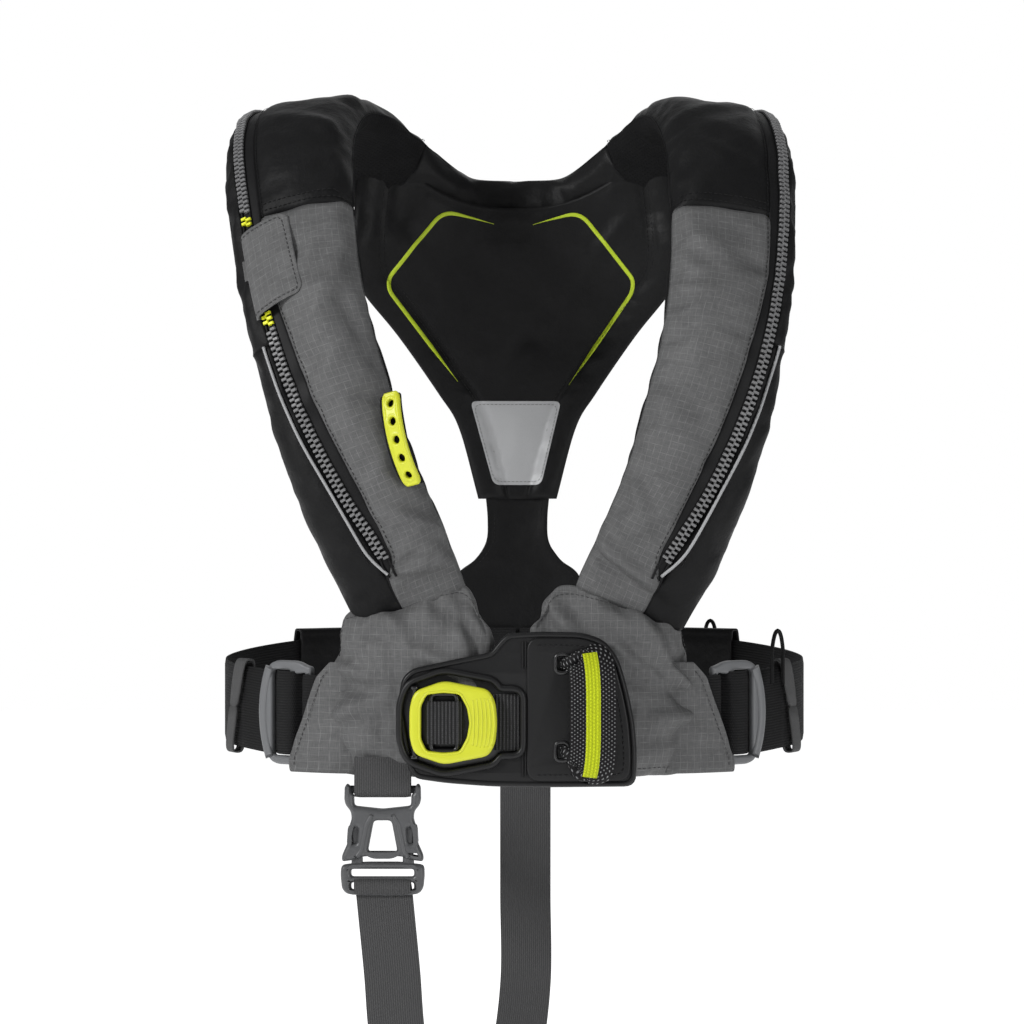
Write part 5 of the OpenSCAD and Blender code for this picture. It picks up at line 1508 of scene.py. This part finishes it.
# bars joined into a frame that the webbing is laced round
bars = ring_path(rounded(box_outline(-46, BZ - 16.5, -30.8, BZ + 16.5), 3, 6), -133.5, 70)
bars = tube_piece("lacing_bars", bars, 1.5, DARK, 12, closed=True, up=(0, 1, 0))
add(bars, "release_ring", ["buckle_bars"])
LACE_R = 2.6
turn = np.radians(np.arange(-90, 91, 15))
lace = [[-30.8 + LACE_R * math.cos(a), -133.5 + LACE_R * math.sin(a), BZ] for a in turn]
lace += [[-46 - LACE_R * math.cos(a), -133.5 + LACE_R * math.sin(a), BZ] for a in turn[::-1]]
lace = ribbon("laced_webbing", even(lace + lace[:1], 60), UP, 24.6, 1.5, LACED, 8, closed=True)
add(lace, "release_ring", ["buckle_webbing_fold"])
tail = [[x, -128.6 - 0.5 * math.exp(-((x + 6) / 5) ** 2), BZ] for x in np.linspace(-21, 5.2, 24)]
add(ribbon("webbing_tail", tail, UP, 32.6, 1.6, LACED), "jacket", ["buckle_webbing_tail"])

# eyelets
for k, (ex, ez) in enumerate(EYES):
    path = ring_path(rounded(box_outline(ex - 3.9, ez - 5.4, ex + 3.9, ez + 5.4), 3.6, 6), -131.5, 48)
    eyelet = tube_piece(f"eyelet_{k}", path, 1.25, DARK, 10, closed=True, up=(0, 1, 0))
    add(eyelet, "jacket", ["harness_eyelets"])

# tether loop: broad over the front, narrowing into the two eyelets
LZ0, LZ1 = -382.6, -313.6
loop_pts, stripe_pts, widths = [], [], []
for a in np.radians(np.linspace(-90, 90, 41)):
    y = -141.7 + 6.5 * abs(math.sin(a)) ** 3
    lean = abs(math.sin(a)) ** 2.5
    corner = abs(math.sin(a)) ** 14
    z = (LZ0 + LZ1) / 2 + (LZ1 - LZ0) / 2 * spow(math.sin(a), 0.62)
    loop_pts.append([48.2 - 2.0 * lean - 3.6 * corner, y, z])
    stripe_pts.append([48.2 - 2.2 * lean, y, z])
    widths.append(27.0 - 8.0 * corner)
tether = outward_faces(ribbon("tether_webbing", loop_pts, X, widths, 3.2, LOOPW, 12, crown=0.4, edge=0.5))
arms = []
for sgn, ez, z1 in ((1, EYES[0][1], LZ1 - 0.4), (-1, EYES[1][1], LZ0 + 0.4)):
    turn_z = ez + 1.6 if sgn > 0 else ez - 3.4
    fine = splined([[45, -135.2, z1], [40, -135.0, z1 - sgn * 0.6], [35.5, -134.6, turn_z], [32, -132.6, ez], [30.4, -129.5, ez]], 24)
    t = unit(np.gradient(fine, axis=0))
    sd = unit(np.cross(t, FRONT) + 1e-9)
    w = np.interp(np.linspace(0, 1, 24), [0, 0.35, 1], [9.0, 7.5, 6.6])
    f = np.linspace(0, 2 * math.pi, 12, endpoint=False)
    nm = np.cross(sd, t)
    g = fine[:, None] + sd[:, None] * (np.cos(f)[None, :, None] * w[:, None, None] / 2)
    g = g + nm[:, None] * (np.sin(f)[None, :, None] * 1.9)
    uvp = np.stack([np.repeat((np.sin(f) * 4)[None], 24, 0), np.repeat(np.linspace(0, 20, 24)[:, None], 12, 1)], 2)
    arm = mesh_object("arm", g.reshape(-1, 3), grid_faces(24, 12, ring=True), uvp.reshape(-1, 2) / 100, LOOPW)
    arms.append(outward_faces(arm))
add(joined("tether_loop_webbing", [tether] + arms), "tether_loop", ["harness_loop"])
STRIPE_LIFT = 2.15
stripe_pts = np.array(stripe_pts, float)
nm = np.cross(X, unit(np.gradient(stripe_pts, axis=0)))
stripe_pts += nm * math.copysign(STRIPE_LIFT, -nm[20, 1])
stripe = outward_faces(ribbon("tether_stripe", stripe_pts, X, 8.4, 0.5, LIME, 6, edge=0.5))
add(stripe, "tether_loop", ["harness_stripe"])

# ---------------------------------------------------------------- pull handle
HR, HW, HT = 55.0, 11.5, 3.0
HANDLE_TURN = Matrix.Identity(4)
for degrees, axis in ((14, "Y"), (22 - 90, "Z"), (90, "X")):
    HANDLE_TURN = HANDLE_TURN @ Matrix.Rotation(math.radians(degrees), 4, axis)
HAT = np.array([65.5, -146.4, -189.0])


def handle_point(arc, across, depth):
    """arc along the bow, across its width, depth inward from its outer face."""
    a = arc / HR
    r = HR - depth
    p = np.array(HANDLE_TURN @ Vector((r * math.cos(a) - HR, r * math.sin(a), across)))
    return mirrored(HAT + p, True)


def handle_mesh():
    half_len = HR * math.radians(31)
    nx, ny = 132, 24
    holes = [k * HR * math.radians(11.6) for k in range(-2, 3)]
    xs, ys = np.linspace(-half_len, half_len, nx + 1), np.linspace(-HW / 2, HW / 2, ny + 1)

    def hole_distance(x, y):
        return min(math.hypot((x - h) / 1.25, y) for h in holes)

    def warp(x, y):
        """Pulls grid points near a hole's rim onto it."""
        for h in holes:
            dx, dy = (x - h) / 1.25, y
            d = math.hypot(dx, dy)
            if 1e-6 < d and abs(d - 1.9) < 0.32:
                return h + dx * 1.9 / d * 1.25, dy * 1.9 / d
        return x, y
    verts, faces, index = [], [], {}
    ends = HW / 2

    def width_at(x):
        e = (half_len - abs(x)) / ends
        return 1.0 if e >= 1 else 0.55 + 0.45 * math.sqrt(max(0.0, 1 - (1 - e) ** 2))
    for layer, depth in enumerate((0.0, HT)):
        for i, x in enumerate(xs):
            for j, y in enumerate(ys):
                wx, wy = warp(x, y)
                yy = wy * width_at(wx)
                edge = min(HW / 2 * width_at(wx) - abs(yy), half_len - abs(wx))
                hole = hole_distance(wx, wy) - 1.9
                soft = 0.75 * max(0.0, 1 - edge / 1.3) ** 2 + 0.5 * max(0.0, 1 - abs(hole) / 0.7) ** 2
                crest = -0.55 * math.exp(-(((hole - 1.0) / 0.5) ** 2)) if layer == 0 else 0.0
                side_lip = -0.5 * math.exp(-(((edge - 1.6) / 0.7) ** 2)) if layer == 0 else 0.0
                d = depth + (soft if layer == 0 else -soft) + crest * 0.5 + side_lip
                index[layer, i, j] = len(verts)
                verts.append(handle_point(wx, yy, d))
    solid = [[hole_distance((xs[i] + xs[i + 1]) / 2, (ys[j] + ys[j + 1]) / 2) > 1.9 for j in range(ny)] for i in range(nx)]
    for i in range(nx):
        for j in range(ny):
            if not solid[i][j]:
                continue
            a, b, c, d = (i, j), (i + 1, j), (i + 1, j + 1), (i, j + 1)
            faces.append(tuple(index[(0,) + q] for q in (a, b, c, d)))
            faces.append(tuple(index[(1,) + q] for q in (d, c, b, a)))
            for (p, q), (di, dj) in (((a, b), (0, -1)), ((b, c), (1, 0)), ((c, d), (0, 1)), ((d, a), (-1, 0))):
                ii, jj = i + di, j + dj
                if ii < 0 or jj < 0 or ii >= nx or jj >= ny or not solid[ii][jj]:
                    faces.append((index[(0,) + q], index[(0,) + p], index[(1,) + p], index[(1,) + q]))
    used = sorted({v for f in faces for v in f})
    remap = {v: k for k, v in enumerate(used)}
    verts, faces = [verts[v] for v in used], [tuple(remap[v] for v in f) for f in faces]
    return outward_faces(mesh_object("manual_pull_handle", verts, faces, np.zeros((len(used), 2)), YELLOW))


recess = []
for arc in np.linspace(-32, 30, 15):
    depth = HT + 1.4 + 0.5 * math.sin(arc / 6)
    recess.append([handle_point(arc, across, depth) for across in np.linspace(-HW * 0.74, HW * 0.44, 9)])
add(sheet_piece("handle_recess", np.array(recess), SMOOTH, 1.0, np.array([-0.3, -0.9, 0])), "jacket")
grip = handle_mesh()
modifier(grip, "SUBSURF", levels=1, render_levels=1)
add(grip, "handle", ["pull_handle"])

# ---------------------------------------------------------------- crotch strap and its buckle
CX, CY, CTOP = -75.0, -113.0, -393.0


def crotch_xy(points):
    return [np.array([CX + p[0], CTOP + p[1]]) for p in points]


# folded webbing that hangs the buckle
loop_path = [np.array([CX, CY + 3.5, -374]), np.array([CX, CY + 3.8, -386]), np.array([CX, CY + 3.9, CTOP])]
loop_path += [np.array([CX, CY + 3.9 * math.cos(a), CTOP - 3.9 * math.sin(a)]) for a in np.radians(np.arange(20, 180, 20))]
loop_path += [np.array([CX, CY - 3.9, CTOP]), np.array([CX, CY - 3.7, -386]), np.array([CX, CY - 2.4, -374])]
hanger = ribbon("crotch_hanger_webbing", splined(loop_path, 70), X, 33, 1.6, STRAP)
add(hanger, "jacket", ["crotch_hanger"])

socket_outline = crotch_xy([
    (-19, -1), (-19.4, 2.6), (-21, 3.4), (-22.2, 1.5), (-22.4, -6), (-21.6, -9), (-18.6, -12.6), (-18.0, -17),
    (-19.4, -21), (-20.6, -26), (-20.6, -31.4), (-22, -34.5), (-23.8, -38.6), (-23.8, -42), (-17.5, -41.2),
    (-11, -39.0), (11, -39.0), (17.5, -41.2), (23.8, -42), (23.8, -38.6), (22, -34.5), (20.6, -31.4),
    (20.6, -26), (19.4, -21), (18.0, -17), (18.6, -12.6), (21.6, -9), (22.4, -6), (22.2, 1.5), (21, 3.4),
    (19.4, 2.6), (19, -1), (16.8, -3.0), (16.6, -9.6), (0, -11.4), (-16.6, -9.6), (-16.8, -3.0)])
a_hole = rounded(crotch_xy([(-5.2, -18), (5.2, -18), (8.6, -36), (5, -37.6), (-5, -37.6), (-8.6, -36)]), 2.4, 4)
win_l = rounded(crotch_xy([(-17.6, -22), (-14.2, -22), (-15.0, -31.5), (-18.2, -31.5)]), 1.4, 3)
win_r = rounded(crotch_xy([(17.6, -22), (14.2, -22), (15.0, -31.5), (18.2, -31.5)]), 1.4, 3)
body = flat_piece("socket_body", rounded(socket_outline, 1.8, 3), [a_hole, win_l, win_r], 9.6, 2.6, facing(CY), BUCKLE, 4)
top_bar = tube_piece("socket_bar", [np.array([CX + x, CY, CTOP]) for x in np.linspace(-20, 20, 9)], 2.3, BUCKLE, 14, up=(0, 1, 0))
ridge = []
for sgn in (-1, 1):
    line = even(crotch_xy([(sgn * 6.0, -14.5), (sgn * 9.2, -20), (sgn * 12.6, -36.0), (sgn * 15.5, -39.6)]), 20)
    line = [[x, CY - 4.2, z] for x, z in line]
    ridge.append(tube_piece("ridge", line, 1.5, BUCKLE, 10, flat=0.8, up=(0, 1, 0)))
add(joined("side_release_socket", [body, top_bar] + ridge), "jacket", ["crotch_buckle_socket"])

plug_outline = crotch_xy([
    (-24.2, -44.2), (-18, -43.4), (-10, -42.4), (10, -42.4), (18, -43.4), (24.2, -44.2), (24.6, -50),
    (23.8, -58.0), (21, -61.0), (12, -62.0), (-12, -62.0), (-21, -61.0), (-23.8, -58.0), (-24.6, -50)])
slot_a = rounded(crotch_xy(box_outline(-18.4, -46.4, 18.4, -51.0)), 1.6, 3)
slot_b = rounded(crotch_xy(box_outline(-18.4, -54.2, 18.4, -58.6)), 1.6, 3)
plug = flat_piece("plug_ladder", rounded(plug_outline, 2.2, 3), [slot_a, slot_b], 9.0, 2.6, facing(CY), BUCKLE, 4)
PRONG = [(11.6, -44.4), (18.4, -44.4), (17.6, -32), (18.6, -24), (15.2, -19.4), (12.6, -22), (12.0, -32)]
prongs = []
for sgn in (-1, 1):
    shape = rounded(crotch_xy([(sgn * x, z) for x, z in PRONG]), 1.6, 3)
    prongs.append(flat_piece("prong", shape, [], 4.6, 1.1, facing(CY), BUCKLE, 2))
add(joined("side_release_plug", [plug] + prongs), "crotch_plug", ["crotch_buckle_plug"])

STRAP_LINE = np.array([
    [5, 112, -357], [5, 112, -375], [5, 112, -420], [5, 112, -480], [5, 110, -540], [-3, 92, -594], [-18, 48, -628], [-33, 0, -640],
    [-47, -48, -628], [-59, -88, -592], [-66.5, -109, -540], [-69.5, -114, -500], [-72.5, -115.8, -468], [-74.2, -113.6, -452.8],
    [-75, -111.6, -449.8], [-75, -114.2, -446.2], [-75, -118.6, -446.0], [-75, -119.8, -449], [-75, -117.0, -453.6]], float)
strap = ribbon("crotch_strap_webbing", even(splined(STRAP_LINE, 500), 320), X, 33, 1.6, STRAP)
add(strap, None, ["crotch_strap"])
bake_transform(strap)

PULL_CORD = mirrored([[119, -114.5, -127], [108, -117, -132], [97, -117, -140], [88, -116, -150]], True)
cord = tube_piece("pull_cord_line", even(splined(PULL_CORD, 40), 30), 1.2, BELT, 10)
add(cord, None, ["pull_cord"])
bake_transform(cord)

# the zipper's inner parts and the rest of the CAD, under the cloth
CAD_LOOK = {
    "zip_slider": DARK, "buckle_post": DARK, "inflator_body": DARK, "inflator_cap": RED, "inflator_lever": YELLOW,
    "lever_pin": STEEL, "piercing_pin": STEEL, "gas_cylinder": STEEL, "bladder": BLADDER, "oral_tube": YELLOW,
    "oral_tube_cap": DARK, "whistle": ORANGE}
for node, look in CAD_LOOK.items():
    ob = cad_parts[node]
    ob.data.materials.clear()
    ob.data.materials.append(look)
    if "cloth" not in ob.data.uv_layers:
        ob.data.uv_layers.new(name="cloth")

# ---------------------------------------------------------------- stage and light
def backdrop():
    """A broad pale floor; the world behind it is white to the camera alone."""
    g = np.array([[[x, y, -720] for x in np.linspace(-6000, 6000, 5)] for y in np.linspace(-6000, 6000, 5)])
    ob = mesh_object("floor", g.reshape(-1, 3), grid_faces(5, 5))
    n = Nodes("floor_paint")
    at = n.new("TexCoord").outputs["Object"]
    tone = n.noise(at, 3, 2)
    paint = n.mix(tone, (0.9, 0.9, 0.905), (0.93, 0.93, 0.93))
    grain = n.bump(n.noise(at, 200, 2), 0.05, 0.0004)
    ob.data.materials.append(n.done(paint, 0.9, grain, Emission_Color=(1, 1, 1, 1), Emission_Strength=0.75))


def lamp(name, at, aim, size, watts):
    data = bpy.data.lights.new(name, "AREA")
    data.shape = "RECTANGLE"
    data.size, data.size_y = size
    data.energy = watts
    ob = bpy.data.objects.new(name, data)
    ob.location = at
    ob.rotation_euler = (Vector(aim) - Vector(at)).to_track_quat("-Z", "Y").to_euler()
    bpy.context.scene.collection.objects.link(ob)


backdrop()
lamp("key", (-1.9, -1.6, 0.9), (0, 0, -0.22), (0.5, 0.5), 66)
lamp("fill", (1.9, -1.9, 0.1), (0, 0, -0.22), (1.0, 1.0), 26)
lamp("top", (0, -0.3, 1.7), (0, 0.0, -0.2), (1.0, 0.7), 3)
lamp("back", (0.3, 1.7, 0.9), (0, 0.1, -0.2), (1.8, 1.2), 6)
bpy.context.scene.view_settings.view_transform = "Standard"
world = bpy.data.worlds.new("studio")
world.use_nodes = True
tree = world.node_tree
sky = tree.nodes["Background"]
sky.inputs[0].default_value = (0.95, 0.96, 0.97, 1)
sky.inputs[1].default_value = 0.3
paper = tree.nodes.new("ShaderNodeBackground")
paper.inputs[0].default_value = (1, 1, 1, 1)
seen = tree.nodes.new("ShaderNodeMixShader")
tree.links.new(tree.nodes.new("ShaderNodeLightPath").outputs["Is Camera Ray"], seen.inputs[0])
tree.links.new(sky.outputs[0], seen.inputs[1])
tree.links.new(paper.outputs[0], seen.inputs[2])
tree.links.new(seen.outputs[0], tree.nodes["World Output"].inputs[0])
bpy.context.scene.world = world
